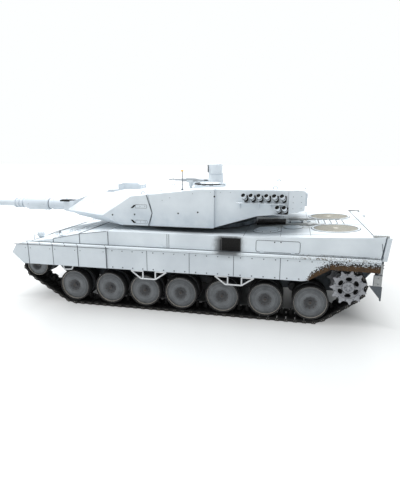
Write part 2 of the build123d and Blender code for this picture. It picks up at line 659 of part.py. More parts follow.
def turret_shell():
    """The hollow turret body, with hatch collars, trunnion holes and module seams."""
    shell = turret_form(0) - turret_form(WALL)
    shell -= bar_z(RING_X, 0, 52.0, TURRET_FLOOR - 1, TURRET_FLOOR + WALL + 1)
    trunnion_hole = bar_y(GUN_X, GUN_Z, TRUNNION_R + RUNNING, MANTLET_HALF, NOSE_INNER[1] + 5)
    boss = bar_y(GUN_X, GUN_Z, 7.5, NOSE_INNER[1], NOSE_INNER[1] + 4)
    shell += both_sides(boss)
    shell -= both_sides(trunnion_hole)
    seam_line = [(205.5, 160.0), (198.0, 127.0), (203.5, 105.0), (204.3, 105.0), (198.8, 127.0),
                 (206.3, 160.0)]
    shell -= both_sides(slab(seam_line, TURRET_HALF - 1.2, TURRET_HALF + 1))
    for x, y in (LOADER_HATCH, COMMANDER_HATCH):
        shell += bar_z(x, y, 21.0, TURRET_ROOF - 6, TURRET_ROOF + 2.0) - turret_form(WALL)
        shell -= bar_z(x, y, HATCH_R - 2, TURRET_ROOF - 8, TURRET_ROOF + 5)
    shell -= bar_z(SIGHT[0], SIGHT[1], SIGHT_SPIGOT_R + RUNNING, 150.0, 160.0)
    shell -= bar_z(MACHINE_GUN[0], MACHINE_GUN[1], PINTLE_R + RUNNING, 145.0, 160.0)
    return shell


def turret_base():
    """The turret's turntable: a flange under the shell and a collar inside the bearing."""
    base = bar_z(RING_X, 0, 70.0, ROOF_Z + 1.0 + FIT_GAP, TURRET_FLOOR)
    base += bar_z(RING_X, 0, BEARING_R - RUNNING, 96.0, TURRET_FLOOR)
    return base - bar_z(RING_X, 0, 52.0, 90.0, TURRET_FLOOR + 1)


def turret_fittings():
    """The gunner's sight box, a thin marker rod, lifting eyes and rear stowage boxes."""
    sight_z = 145.0
    housing = [(299.0, sight_z), (299.0, 153.0), (292.0, 157.5), (268.0, 157.5), (262.0, 154.0),
               (262.0, sight_z)]
    sight = slab(housing, -60.0, -34.0) - turret_form(0)
    rod = bar_z(165.0, 72.0, 0.7, 153.0, 178.0) - turret_form(0)
    tip = bar_z(165.0, 72.0, 1.5, 178.0, 180.0)
    pieces = [sight, rod + tip]
    for y in (-70.0, 70.0):
        eye = block(216.0, 222.0, y - 1.0, y + 1.0, 146.0, 153.0)
        pieces.append(eye - turret_form(0))
    for y in (-38.0, 38.0):
        box = block(9.0, TURRET_REAR, y - 30.0, y + 30.0, 137.0, 154.0)
        pieces.append(box)
    return pieces


def smoke_launchers():
    """Eight short launcher tubes a side, with the shelf that carries them."""
    axis = Vector(0.30, 0.68, 0.67).normalized()
    shelf = block(35.0, 92.0, BUSTLE_HALF, 100.0, 142.4, 143.6)
    shelf += [block(x - 0.6, x + 0.6, BUSTLE_HALF, 98.0, 135.0, 142.4) for x in (88.0, 66.0, 52.0)]
    low_shelf = block(30.0, 48.0, BUSTLE_HALF, 96.0, 129.5, 130.5)
    tubes = []
    tops = [(83.6 - 8.9 * number, 103.0, 153.0) for number in range(6)]
    tops += [(44.0, 102.0, 139.7), (36.4, 102.0, 139.7)]
    for top in tops:
        mouth = Vector(*top)
        foot = mouth - axis * 11.0
        tube = strut(foot, mouth, 2.9)
        hollow = strut(mouth - axis * 3.0, mouth + axis, 2.2)
        tubes.append(tube - hollow - block(20.0, 100.0, 60.0, BUSTLE_HALF, 120.0, 160.0))
    group = shelf + low_shelf
    for tube in tubes:
        group += tube
    return both_sides(group)


def gun_mantlet():
    """The gun's housing between the wedges, with its two trunnion pins."""
    profile = [(294.0, 114.0), (352.0, 113.5), (370.0, 114.5), (370.0, 129.0), (346.0, 131.5),
               (320.0, 140.5), (298.0, 140.5), (292.0, 134.0)]
    body = slab(profile, -MANTLET_HALF, MANTLET_HALF)
    hollow = slab(inset_line(profile, WALL), -MANTLET_HALF + WALL, MANTLET_HALF - WALL)
    body -= hollow & block(280.0, 344.0, -40.0, 40.0, 100.0, 150.0)
    taper = half_space((346.0, MANTLET_HALF, 0), (0.55, 1.0, 0))
    body -= both_sides(taper)
    body += bar_x(0, GUN_Z, 9.0, 366.0, 396.0)
    pin = bar_y(GUN_X, GUN_Z, TRUNNION_R, MANTLET_HALF - 2, NOSE_INNER[1] + 3.5)
    body += both_sides(pin)
    return body - bar_x(0, GUN_Z, 5.0, 340.0, 400.0)


def gun_barrel():
    """The barrel: sleeve, fume extractor, clamp rings, thermal sleeve and muzzle."""
    barrel = bar_x(0, GUN_Z, 5.0, 336.0, MUZZLE - 12)
    barrel += bar_x(0, GUN_Z, 8.2, 396.0, 402.0)
    barrel += bar_x(0, GUN_Z, 10.2, 404.0, 440.0)
    for low, high in ((402.0, 404.0), (440.0, 447.0)):
        small, large = (8.2, 10.2) if low < 404 else (10.2, 7.0)
        cone = Cone(small, large, high - low)
        barrel += Pos((low + high) / 2, 0, GUN_Z) * Rot(0, 90, 0) * cone
    for x in (449.0, 455.5, 462.0):
        barrel += bar_x(0, GUN_Z, 8.0, x, x + 2.6)
    barrel += bar_x(0, GUN_Z, 6.6, 446.0, 466.0)
    barrel += bar_x(0, GUN_Z, 5.6, 466.0, 588.0)
    barrel += bar_x(0, GUN_Z, 6.2, 588.0, MUZZLE)
    return barrel - bar_x(0, GUN_Z, 3.75, MUZZLE - 18, MUZZLE + 1)


def hatch_lid(centre):
    """A round lid on a hatch collar, with its hinge lug at the rear."""
    x, y = centre
    low = TURRET_ROOF + 2.0 + FIT_GAP
    lid = bar_z(x, y, HATCH_R, low, low + 2.0)
    lid += block(x - HATCH_R - 5, x - HATCH_R + 3, y - 5, y + 5, low, low + 2.0)
    lid += bar_z(x, y, 4.0, low + 2.0, low + 3.0)
    return lid


def panoramic_sight():
    """The rotating sight head on the turret roof, with its window recess."""
    x, y = SIGHT
    low = TURRET_ROOF + FIT_GAP
    head = bar_z(x, y, 11.0, low, 172.0) + bar_z(x, y, 9.5, 172.0, 186.0)
    head += bar_z(x, y, SIGHT_SPIGOT_R, TURRET_ROOF - 5, low)
    recess = block(x + 6.5, x + 12, y - 5, y + 5, 174.5, 183.5)
    return head - recess


def machine_gun():
    """The roof machine gun on its pintle, beside the loader's hatch."""
    x, y = MACHINE_GUN
    gun = bar_z(x, y, 2.5, 156.0, 164.0) + bar_z(x, y, PINTLE_R, 151.0, 156.0)
    gun += block(x - 10, x + 14, y - 2, y + 2, 163.5, 168.0)
    gun += bar_x(y, 166.0, 1.0, x + 14, x + 34)
    gun += block(x - 18, x - 10, y - 1, y + 1, 164.0, 167.0)
    gun += block(x - 4, x + 4, y - 6.5, y - 2, 162.8, 167.0)
    return gun


# ---------------------------------------------------------------- write every node
def main():
    """Build and write all the nodes."""
    os.makedirs("parts", exist_ok=True)
    left_links, pitch = track(1)
    print("link pitch", round(pitch, 3))
    write("track_left", left_links)
    write("track_right", track(-1)[0])
    for number, station in enumerate(WHEEL_STATIONS, start=1):
        wheel = twin_disc(station, AXLE_Z, RIM_R, TYRE_R)
        arm = swing_arm(station)
        write(f"road_wheel_left_{number}", wheel)
        write(f"road_wheel_right_{number}", [right_side(piece) for piece in wheel])
        write(f"swing_arm_left_{number}", arm)
        write(f"swing_arm_right_{number}", right_side(arm))
    write("sprocket_left", sprocket())
    write("sprocket_right", right_side(sprocket()))
    write("idler_left", idler())
    write("idler_right", [right_side(piece) for piece in idler()])
    write("return_rollers", return_rollers())
    write("lower_hull", lower_hull())
    write("upper_hull", upper_hull())
    write("skirt_left", skirt())
    write("skirt_right", [right_side(panel) for panel in skirt()])
    write("side_steps", side_steps())
    write("fan_grilles", fan_grilles())
    write("deck_fittings", deck_fittings())
    write("front_fittings", front_fittings())
    write("rear_fittings", rear_fittings())
    write("turret_bearing", turret_bearing())
    write("driver_hatch", driver_hatch())
    write("drive_gearboxes", drive_gearboxes())
    write("battery_pack", battery_pack())
    write("electronics", electronics())
    write("turret_drive", turret_drive())
    write("turret_shell", turret_shell())
    write("turret_base", turret_base())
    write("turret_fittings", turret_fittings())
    write("smoke_launchers", smoke_launchers())
    write("gun_mantlet", gun_mantlet())
    write("gun_barrel", gun_barrel())
    write("loader_hatch", hatch_lid(LOADER_HATCH))
    write("commander_hatch", hatch_lid(COMMANDER_HATCH))
    write("panoramic_sight", panoramic_sight())
    write("machine_gun", machine_gun())


main()
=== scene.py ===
"""Looks of a 1:16 radio-controlled model of a modern main battle tank, in winter white.

Lengths in the shape code are millimetres. X is measured forward from the axle of the rearmost
road wheel, Y is the tank's left and Z is up, as in the CAD part. piece() moves every mesh to the
row frame and turns it into metres.
"""
import math

import bmesh
import bpy
from mathutils import Matrix, Vector


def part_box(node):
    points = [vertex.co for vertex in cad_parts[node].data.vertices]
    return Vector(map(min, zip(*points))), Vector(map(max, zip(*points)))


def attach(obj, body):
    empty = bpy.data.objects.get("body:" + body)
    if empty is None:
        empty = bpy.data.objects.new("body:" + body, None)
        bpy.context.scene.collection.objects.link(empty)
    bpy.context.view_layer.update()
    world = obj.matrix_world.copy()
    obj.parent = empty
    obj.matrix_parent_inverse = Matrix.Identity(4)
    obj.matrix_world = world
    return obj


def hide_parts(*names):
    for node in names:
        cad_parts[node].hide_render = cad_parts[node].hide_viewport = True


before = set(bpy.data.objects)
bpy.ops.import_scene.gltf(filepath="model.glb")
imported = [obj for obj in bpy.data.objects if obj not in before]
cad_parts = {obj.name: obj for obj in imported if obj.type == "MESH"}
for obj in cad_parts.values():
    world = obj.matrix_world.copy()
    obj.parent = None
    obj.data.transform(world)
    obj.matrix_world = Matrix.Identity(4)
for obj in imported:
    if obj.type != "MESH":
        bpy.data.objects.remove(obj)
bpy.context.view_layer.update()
MM = 0.001
FORWARD, BACK, LEFT, UP = (1, 0, 0), (-1, 0, 0), (0, 1, 0), (0, 0, 1)
ORIGIN = (0, 0, 0)
SIDES = (("left", 1), ("right", -1))


# ---------------------------------------------------------------- places taken from the CAD
def middle(node):
    """Centre of a CAD node's box, in millimetres in the row frame."""
    low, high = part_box(node)
    return [(a + b) / 2 / MM for a, b in zip(low, high)]


ZERO_X = middle("road_wheel_left_7")[0]          # row-frame X of the rearmost wheel's axle
WHEELS = range(1, 8)
WHEEL_X = {number: middle(f"road_wheel_left_{number}")[0] - ZERO_X for number in WHEELS}
AXLE_Z = middle("road_wheel_left_1")[2]
TRACK_Y = middle("road_wheel_left_1")[1]
SPROCKET_X = middle("sprocket_left")[0] - ZERO_X
SPROCKET_Z = middle("sprocket_left")[2]
IDLER_X = middle("idler_left")[0] - ZERO_X
IDLER_Z = middle("idler_left")[2]
SIGHT_X = middle("panoramic_sight")[0] - ZERO_X
SIGHT_Y = middle("panoramic_sight")[1]
GUN_Z = middle("gun_barrel")[2]
MUZZLE_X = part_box("gun_barrel")[1][0] / MM - ZERO_X
WALL_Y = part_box("rear_fittings")[1][1] / MM      # hull side walls
SKIRT_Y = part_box("skirt_left")[1][1] / MM
RING_X = middle("turret_bearing")[0] - ZERO_X
TURRET_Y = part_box("turret_shell")[1][1] / MM
COLLAR_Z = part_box("turret_shell")[1][2] / MM     # the tops of the hatch collars, 2 mm above the roof
HATCHES = {"loader_hatch": (135, 40), "commander_hatch": (160, -46)}
DECK_LINE = ((-75, 111.3), (-62, 110), (37, 106.3), (75, 104.5), (254, 104.5),
             (293, 99.5), (332, 91.3), (376, 84.5), (386, 82))
ROOF_LINE = ((12, 158), (135, 158), (231, 147), (312, 144), (380, 142))


def height_on(line, x):
    """Height of a roof or deck line at a station."""
    for (x1, z1), (x2, z2) in zip(line, line[1:]):
        if x1 <= x <= x2:
            return z1 + (z2 - z1) * (x - x1) / (x2 - x1)
    return line[0][1]


def lying_on(line, x, y, lift=0):
    """Matrix that stands a shape, drawn round the origin, on a roof or deck line."""
    rise = height_on(line, x + 1) - height_on(line, x - 1)
    tilt = -math.atan2(rise, 2)
    place = Matrix.Translation((x, y, height_on(line, x)))
    return place @ Matrix.Rotation(tilt, 4, "Y") @ Matrix.Translation((0, 0, lift))


# ---------------------------------------------------------------- shapes: (points, faces) pairs
def box(x1, x2, y1, y2, z1, z2):
    """A box given by its limits."""
    points = [Vector((x, y, z)) for x in (x1, x2) for y in (y1, y2) for z in (z1, z2)]
    faces = [(0, 1, 3, 2), (4, 6, 7, 5), (0, 4, 5, 1), (2, 3, 7, 6), (0, 2, 6, 4), (1, 5, 7, 3)]
    return points, faces


def placed(shapes, *places):
    """A copy of the shapes at every place, which is a matrix."""
    return [([place @ p for p in points], faces) for place in places for points, faces in shapes]


def everywhere(groups, *places):
    """Groups of shapes with a copy of each shape at every place."""
    return {key: placed(shapes, *places) for key, shapes in groups.items()}


def mirrored(shape):
    """A shape's mirror image across the middle of the tank."""
    points, faces = shape
    return [Vector((p.x, -p.y, p.z)) for p in points], [tuple(reversed(face)) for face in faces]


def both(shapes):
    """Left-hand shapes and their mirror images."""
    return list(shapes) + [mirrored(shape) for shape in shapes]


def on_both(groups):
    """Groups of left-hand shapes and their mirror images."""
    return {key: both(shapes) for key, shapes in groups.items()}


def on_side(groups, sign):
    """Groups of left-hand shapes for the side given by sign: 1 left, -1 right."""
    return groups if sign > 0 else {key: [mirrored(s) for s in shapes] for key, shapes in groups.items()}


def frame_along(axis):
    """A matrix whose Z runs along an axis."""
    return Vector(axis).to_track_quat("Z", "Y").to_matrix().to_4x4()


def turned(profile, centre, axis=LEFT, steps=48):
    """A (radius, distance along the axis) profile turned about an axis through the centre."""
    place = Matrix.Translation(centre) @ frame_along(axis)
    points, faces, rings = [], [], []
    for radius, along in profile:
        count = 1 if radius == 0 else steps
        rings.append((len(points), count))
        for number in range(count):
            angle = 2 * math.pi * number / count
            spot = Vector((radius * math.cos(angle), radius * math.sin(angle), along))
            points.append(place @ spot)
    for (first, count1), (second, count2) in zip(rings, rings[1:]):
        for number in range(steps):
            a, b = first + number % count1, first + (number + 1) % count1
            c, d = second + (number + 1) % count2, second + number % count2
            corners = [a] + ([b] if b != a else []) + [c] + ([d] if d != c else [])
            faces.append(tuple(corners))
    return points, faces


def disc(profile, steps=48):
    """A (radius, height) profile turned about an upright axis through the origin."""
    return turned(profile, ORIGIN, UP, steps)


def rod(start, end, radius, steps=12):
    """A round bar with closed ends between two points."""
    axis = Vector(end) - Vector(start)
    profile = [(0, 0), (radius, 0), (radius, axis.length), (0, axis.length)]
    return turned(profile, start, axis, steps)


def wire(points, radius, closed=False, steps=8):
    """A bent wire through points, as round bars that meet."""
    ends = list(points) + ([points[0]] if closed else [])
    return [rod(a, b, radius, steps) for a, b in zip(ends, ends[1:])]


def prism(outline, low, high, axis="Y"):
    """A closed (a, b) outline extended along an axis: (x, z) for Y, (y, z) for X, (x, y) for Z."""
    def spot(a, b, c):
        return Vector({"Y": (a, c, b), "X": (c, a, b), "Z": (a, b, c)}[axis])
    count = len(outline)
    points = [spot(a, b, low) for a, b in outline] + [spot(a, b, high) for a, b in outline]
    faces = [tuple(range(count)), tuple(range(2 * count - 1, count - 1, -1))]
    for number in range(count):
        after = (number + 1) % count
        faces.append((number, number + count, after + count, after))
    return points, faces


def bolts(spots, normal, radius, height=0.5, sides=6):
    """Small bolt heads with chamfered tops, sunk a little into the surface."""
    profile = [(radius, -0.3), (radius, height * 0.6), (radius * 0.75, height), (0, height)]
    return [turned(profile, spot, normal, sides) for spot in spots]


def handle(foot, other_foot, rise, radius):
    """A wire handle that goes up from one foot, across and down to the other."""
    foot, other_foot, up = Vector(foot), Vector(other_foot), Vector((0, 0, rise))
    return wire([foot, foot + up, other_foot + up, other_foot], radius)


def circle(count, radius, first=0):
    """Evenly spaced (a, b) points on a circle, from an angle in degrees."""
    angles = [math.radians(first + 360 * number / count) for number in range(count)]
    return [(radius * math.cos(angle), radius * math.sin(angle)) for angle in angles]


def around(x, y, z, count, radius, first=0):
    """Points on a circle about an axis along Y."""
    return [(x + a, y, z + b) for a, b in circle(count, radius, first)]


def rounded(x1, x2, z1, z2, radius, steps=5):
    """Corner points of a rectangle with rounded corners."""
    points = []
    corners = ((x2 - radius, z2 - radius, 0), (x1 + radius, z2 - radius, 90),
               (x1 + radius, z1 + radius, 180), (x2 - radius, z1 + radius, 270))
    for x, z, start in corners:
        for step in range(steps + 1):
            angle = math.radians(start + 90 * step / steps)
            points.append((x + radius * math.cos(angle), z + radius * math.sin(angle)))
    return points


def seams(rows):
    """Thin panel lines, from rows of a radius and the points it runs through."""
    return [part for radius, *points in rows for part in wire(points, radius, steps=6)]


# ---------------------------------------------------------------- pieces
SHARP_DEGREES = 32       # edges bent more than this shade as edges
BEVEL_DEGREES = 40       # and edges bent more than this are rounded


def recalculated(mesh):
    """Turns every face outwards."""
    work = bmesh.new()
    work.from_mesh(mesh)
    bmesh.ops.recalc_face_normals(work, faces=work.faces)
    work.to_mesh(mesh)
    work.free()


def piece(name, body, groups, bevel=0, replaces=(), centre=None):
    """One object from {key in MATERIALS: [shapes]}, riding on a body.

    With a centre (x, z), each point also stores its distance from the axis there.
    """
    points, faces, material_of = [], [], []
    for index, shapes in enumerate(groups.values()):
        for shape_points, shape_faces in shapes:
            first = len(points)
            points.extend(shape_points)
            faces.extend(tuple(corner + first for corner in face) for face in shape_faces)
            material_of.extend([index] * len(shape_faces))
    mesh = bpy.data.meshes.new(name)
    mesh.from_pydata([((p.x + ZERO_X) * MM, p.y * MM, p.z * MM) for p in points], [], faces)
    for key in groups:
        mesh.materials.append(MATERIALS[key])
    mesh.polygons.foreach_set("material_index", material_of)
    recalculated(mesh)
    mesh.polygons.foreach_set("use_smooth", [True] * len(mesh.polygons))
    mesh.set_sharp_from_angle(angle=math.radians(SHARP_DEGREES))
    if centre:
        x, z = centre
        radius = mesh.attributes.new("radius", "FLOAT", "POINT")
        radius.data.foreach_set("value", [math.hypot(p.x - x, p.z - z) for p in points])
    item = bpy.data.objects.new(name, mesh)
    bpy.context.scene.collection.objects.link(item)
    if bevel:
        rounding = item.modifiers.new("Bevel", "BEVEL")
        rounding.width = bevel * MM
        rounding.segments = 1
        rounding.limit_method = "ANGLE"
        rounding.angle_limit = math.radians(BEVEL_DEGREES)
    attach(item, body)
    if replaces:
        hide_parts(*replaces)


# ---------------------------------------------------------------- materials
class Graph:
    """Builds one material's node graph with short calls. Coordinates are millimetres."""

    def __init__(self, name, roughness=0.5, metallic=0):
        self.material = bpy.data.materials.new(name)
        self.material.use_nodes = True
        self.tree = self.material.node_tree
        self.shader = self.tree.nodes["Principled BSDF"]
        self.shader.inputs["Roughness"].default_value = roughness
        self.shader.inputs["Metallic"].default_value = metallic
        place = self.tree.nodes.new("ShaderNodeTexCoord").outputs["Object"]
        self.place = self.add("ShaderNodeVectorMath", (place, (1 / MM,) * 3), operation="MULTIPLY")
        split = self.tree.nodes.new("ShaderNodeSeparateXYZ")
        self.tree.links.new(self.place, split.inputs[0])
        self.x = self.minus(split.outputs[0], ZERO_X)
        self.y = self.math("ABSOLUTE", split.outputs[1])
        self.z = split.outputs[2]

    def put(self, socket, value):
        """Link an output to a socket, or set a constant on it."""
        if isinstance(value, bpy.types.NodeSocket):
            self.tree.links.new(value, socket)
        else:
            socket.default_value = value

    def add(self, kind, values=(), output=0, **settings):
        """Add a node, fill its first inputs and give one output."""
        node = self.tree.nodes.new(kind)
        for key, value in settings.items():
            setattr(node, key, value)
        for socket, value in zip(node.inputs, values):
            self.put(socket, value)
        return node.outputs[output]

    def math(self, operation, first, second=0):
        """One arithmetic node."""
        return self.add("ShaderNodeMath", (first, second), operation=operation)

    def times(self, first, *others):
        """The product of two or more values."""
        for other in others:
            first = self.math("MULTIPLY", first, other)
        return first

    def plus(self, first, second):
        """The sum of two values."""
        return self.math("ADD", first, second)

    def minus(self, first, second):
        """The difference of two values."""
        return self.math("SUBTRACT", first, second)

    def noise(self, scale, detail=4, roughness=0.55, stretch=(1, 1, 1)):
        """Noise from 0 to 1; scale is in features per millimetre."""
        node = self.tree.nodes.new("ShaderNodeTexNoise")
        spread = self.add("ShaderNodeVectorMath", (self.place, stretch), operation="MULTIPLY")
        self.tree.links.new(spread, node.inputs["Vector"])
        node.inputs["Scale"].default_value = scale
        node.inputs["Detail"].default_value = detail
        node.inputs["Roughness"].default_value = roughness
        return node.outputs["Fac"]

    def span(self, value, low, high, start=0, end=1):
        """Map a value from low..high to start..end, held at the ends."""
        node = self.tree.nodes.new("ShaderNodeMapRange")
        for name, number in (("From Min", low), ("From Max", high), ("To Min", start), ("To Max", end)):
            node.inputs[name].default_value = number
        self.put(node.inputs["Value"], value)
        return node.outputs["Result"]

    def mix(self, factor, first, second):
        """Blend two colours."""
        node = self.tree.nodes.new("ShaderNodeMix")
        node.data_type = "RGBA"
        self.put(node.inputs["Factor"], factor)
        for socket, value in ((node.inputs[6], first), (node.inputs[7], second)):
            self.put(socket, (*value, 1) if isinstance(value, tuple) else value)
        return node.outputs[2]

    def box_mask(self, x0, z0, half_x, half_z, soft):
        """1 inside a soft-edged rectangle on the sides, 0 outside."""
        off_x = self.math("ABSOLUTE", self.minus(self.x, x0))
        off_z = self.math("ABSOLUTE", self.minus(self.z, z0))
        in_x = self.span(off_x, half_x, half_x + soft, 1, 0)
        in_z = self.span(off_z, half_z, half_z + soft, 1, 0)
        return self.times(in_x, in_z)

    def edges(self, radius):
        """1 along sharp edges of the shape, 0 on its faces."""
        node = self.tree.nodes.new("ShaderNodeBevel")
        node.samples = 4
        node.inputs["Radius"].default_value = radius * MM
        normal = self.tree.nodes.new("ShaderNodeNewGeometry").outputs["True Normal"]
        meeting = self.add("ShaderNodeVectorMath", (node.outputs[0], normal), 1, operation="DOT_PRODUCT")
        return self.span(meeting, 0.995, 0.90, 0, 1)

    def bump(self, height, strength, distance=0.2):
        """Surface relief; distance is in millimetres."""
        node = self.tree.nodes.new("ShaderNodeBump")
        node.inputs["Strength"].default_value = strength
        node.inputs["Distance"].default_value = distance * MM
        self.tree.links.new(height, node.inputs["Height"])
        self.tree.links.new(node.outputs[0], self.shader.inputs["Normal"])

    def finish(self, colour, roughness=None):
        """Connect the colour, and the roughness if it varies."""
        self.put(self.shader.inputs["Base Color"], colour)
        if roughness is not None:
            self.put(self.shader.inputs["Roughness"], roughness)
        return self.material


WHITE = (0.64, 0.695, 0.74)
HULL_PAINT = (0.69, 0.745, 0.785)
TURRET_PAINT = (0.67, 0.725, 0.768)
SHADOW_WASH = (0.36, 0.41, 0.46)
SOOT = (0.006, 0.006, 0.006)
RUST = (0.085, 0.043, 0.012)
RUST_DARK = (0.030, 0.017, 0.009)
CHIP = (0.012, 0.010, 0.009)
MUD = (0.16, 0.15, 0.13)
LOW_SIDE_SHADE = (0.34, 0.42, 0.50)
DEEP_SHADE = (0.03, 0.034, 0.038)
BUSTLE_GRIME_AND_SHADE = (0.17, 0.165, 0.14)
WHEEL_LIGHT = (0.27, 0.285, 0.30)
WHEEL_DARK = (0.050, 0.056, 0.062)
HUB_RECESS_SHADE = (0.035, 0.033, 0.034)
DUST = (0.30, 0.29, 0.28)
TUB_DARK = (0.03, 0.042, 0.052)
TUB_DUST = (0.17, 0.21, 0.25)
TUB_MUD = (0.10, 0.095, 0.09)


def paint_base(graph, colour, wash):
    """Chalky hand-sprayed paint: cloudy patches, fine specks and a grey wash along the edges."""
    cloud = graph.span(graph.noise(0.03, 5), 0.35, 0.70)
    cloudy = graph.mix(graph.times(cloud, 0.30), colour, wash)
    speck = graph.span(graph.noise(1.1, 3, 0.7), 0.66, 0.74)
    specked = graph.mix(graph.times(speck, 0.18), cloudy, wash)
    lines = graph.times(graph.edges(0.45), 0.45)
    graph.bump(graph.noise(1.6, 4, 0.6), 0.12, 0.10)
    return graph.mix(lines, specked, wash)


def plain_white(name, colour=WHITE, wash=SHADOW_WASH):
    """Winter white without any stains of its own."""
    graph = Graph(name, 0.48)
    painted = paint_base(graph, colour, wash)
    return graph.finish(painted, graph.span(graph.noise(0.25), 0.3, 0.7, 0.40, 0.58))


def turret_white():
    """The turret: painted bluish shade in patches, darker towards the bottom of its sides."""
    graph = Graph("turret_white", 0.48)
    painted = paint_base(graph, TURRET_PAINT, SHADOW_WASH)
    # Painted shade: bluish, in patches, darker towards the bottom of the sides.
    low = graph.span(graph.z, 138, 111)
    on_side = graph.span(graph.y, 86, 92)
    patches = graph.span(graph.noise(0.07, 4), 0.30, 0.65, 0.12, 0.62)
    return graph.finish(graph.mix(graph.times(low, on_side, patches), painted, LOW_SIDE_SHADE))


def exhaust_soot(graph, painted):
    """Soot round the exhaust grille in the side wall, thinning out into the white."""
    ragged = graph.times(graph.noise(0.35, 5, 0.65, (1, 1, 0.45)), 1.3)
    near_grille = graph.box_mask(98.5, 94, 9.5, 6, 14)
    thinning = graph.span(graph.plus(ragged, near_grille), 0.70, 1.30)
    on_wall = graph.span(graph.y, 104, 108)
    return graph.mix(graph.times(near_grille, thinning, on_wall), painted, SOOT)


def ledge_mud(graph, painted):
    """Specks of mud on the rear part of the ledge above the skirt."""
    near_ledge = graph.times(graph.span(graph.z, 86.2, 88.6, 1, 0), graph.span(graph.x, 30, 5))
    specks = graph.times(near_ledge, graph.span(graph.noise(0.5, 4, 0.7), 0.50, 0.58))
    return graph.mix(specks, painted, MUD)


def under_turret(graph, painted, on_deck):
    """Painted shade on the deck that the turret covers, darkest towards the ring's middle."""
    ring_x = graph.minus(graph.x, RING_X)
    from_ring = graph.math("SQRT", graph.plus(graph.times(ring_x, ring_x), graph.times(graph.y, graph.y)))
    # Painted shade under the turret.
    turret_shade = graph.times(on_deck, graph.span(from_ring, 112, 90, 0, 0.85))
    return graph.mix(turret_shade, painted, DEEP_SHADE)


def hull_white():
    """The upper hull: soot, mud specks on the ledge, painted shade under the turret, grime and painted shade
    on the engine deck.
    """
    graph = Graph("hull_white", 0.5)
    painted = exhaust_soot(graph, paint_base(graph, HULL_PAINT, SHADOW_WASH))
    painted = ledge_mud(graph, painted)
    on_deck = graph.span(graph.z, 104, 104.6)
    painted = under_turret(graph, painted, on_deck)
    # Grime and painted shade on the engine deck, strongest under the turret's bustle.
    engine = graph.times(on_deck, graph.span(graph.x, 78, 60))
    inner = graph.times(engine, graph.span(graph.y, 62, 34))
    inner = graph.times(inner, graph.span(graph.x, -14, 6, 0.35, 1))
    grime_and_shade = graph.times(inner, graph.span(graph.noise(0.10, 5, 0.7), 0.36, 0.62, 0, 0.90))
    return graph.finish(graph.mix(grime_and_shade, painted, BUSTLE_GRIME_AND_SHADE))


def skirt_white():
    """The side skirts: rust along the rear edge, chips above it, soot under the exhaust."""
    graph = Graph("skirt_white", 0.5)
    painted = paint_base(graph, WHITE, SHADOW_WASH)
    under_exhaust = graph.times(graph.box_mask(96, 86, 10, 1, 9), 0.45)
    painted = graph.mix(under_exhaust, painted, SOOT)
    lower_edge = graph.span(graph.x, -19, 6, 72.6, 57.8)
    above = graph.minus(graph.z, lower_edge)
    rear = graph.span(graph.x, 10, 2)
    eaten = graph.plus(graph.noise(0.80, 3, 0.6), graph.span(above, 2, 13, 0.28, -0.13))
    eaten = graph.minus(eaten, graph.times(graph.minus(1, rear), 0.5))
    rust = graph.span(eaten, 0.51, 0.54)
    tone = graph.mix(graph.span(graph.noise(0.5, 5, 0.7), 0.35, 0.65), RUST, RUST_DARK)
    tone = graph.mix(graph.span(above, 5, 7.5), tone, CHIP)
    return graph.finish(graph.mix(rust, painted, tone), graph.span(rust, 0, 1, 0.48, 0.85))


def wheel_grey():
    """Dusty grey wheel paint with round brush marks, and painted shade in the hub's recess."""
    graph = Graph("wheel_grey", 0.48)
    radius = graph.add("ShaderNodeAttribute", (), 2, attribute_name="radius")
    rings = graph.tree.nodes.new("ShaderNodeTexNoise")
    rings.noise_dimensions = "1D"
    rings.inputs["Scale"].default_value = 1.5
    rings.inputs["Detail"].default_value = 5
    graph.tree.links.new(radius, rings.inputs["W"])
    brushed = graph.times(graph.span(rings.outputs["Fac"], 0.32, 0.68), 0.45)
    cloud = graph.times(graph.noise(0.10, 4), 0.75)
    base = graph.mix(graph.plus(brushed, cloud), WHEEL_LIGHT, WHEEL_DARK)
    # Painted shade in the hub's recess.
    hub = graph.span(radius, 9, 5)
    dusty = graph.span(graph.noise(0.5, 5, 0.75), 0.60, 0.72, 0, 0.35)
    recess = graph.mix(graph.times(hub, 0.62), base, HUB_RECESS_SHADE)
    graph.bump(graph.noise(1.4, 4, 0.7), 0.25, 0.12)
    return graph.finish(graph.mix(dusty, recess, DUST))


def worn(name, colour, worn_colour, roughness, metallic=0, scale=0.5, amount=0.5, relief=0.25):
    """Paint, rubber or metal with worn edges, cloudy patches and fine relief."""
    graph = Graph(name, roughness, metallic)
    cloud = graph.span(graph.noise(scale, 5, 0.65), 0.38, 0.68, 0, amount)
    base = graph.mix(cloud, colour, worn_colour)
    rubbed = graph.times(graph.edges(0.25), amount)
    graph.bump(graph.noise(scale * 5, 4, 0.65), relief, 0.12)
    uneven = graph.span(graph.noise(scale * 2), 0.3, 0.7, roughness - 0.10, roughness + 0.12)
    return graph.finish(graph.mix(rubbed, base, worn_colour), uneven)


def tub_paint():
    """The lower hull: slate grey dust over dark paint, muddier towards the belly."""
    graph = Graph("tub_paint", 0.7)
    dust = graph.span(graph.noise(0.06, 5, 0.6), 0.35, 0.65)
    base = graph.mix(dust, TUB_DARK, TUB_DUST)
    low = graph.times(graph.span(graph.z, 60, 30), graph.noise(0.2, 5, 0.7))
    graph.bump(graph.noise(0.9, 5, 0.7), 0.3, 0.2)
    return graph.finish(graph.mix(low, base, TUB_MUD))


def glass(name, colour, roughness=0.08):
    """Dark coated glass."""
    graph = Graph(name, roughness)
    graph.shader.inputs["Coat Weight"].default_value = 0.8
    graph.bump(graph.noise(0.2, 2), 0.04, 0.1)
    return graph.finish(graph.mix(graph.noise(0.15, 2), colour, tuple(c * 0.4 for c in colour)))


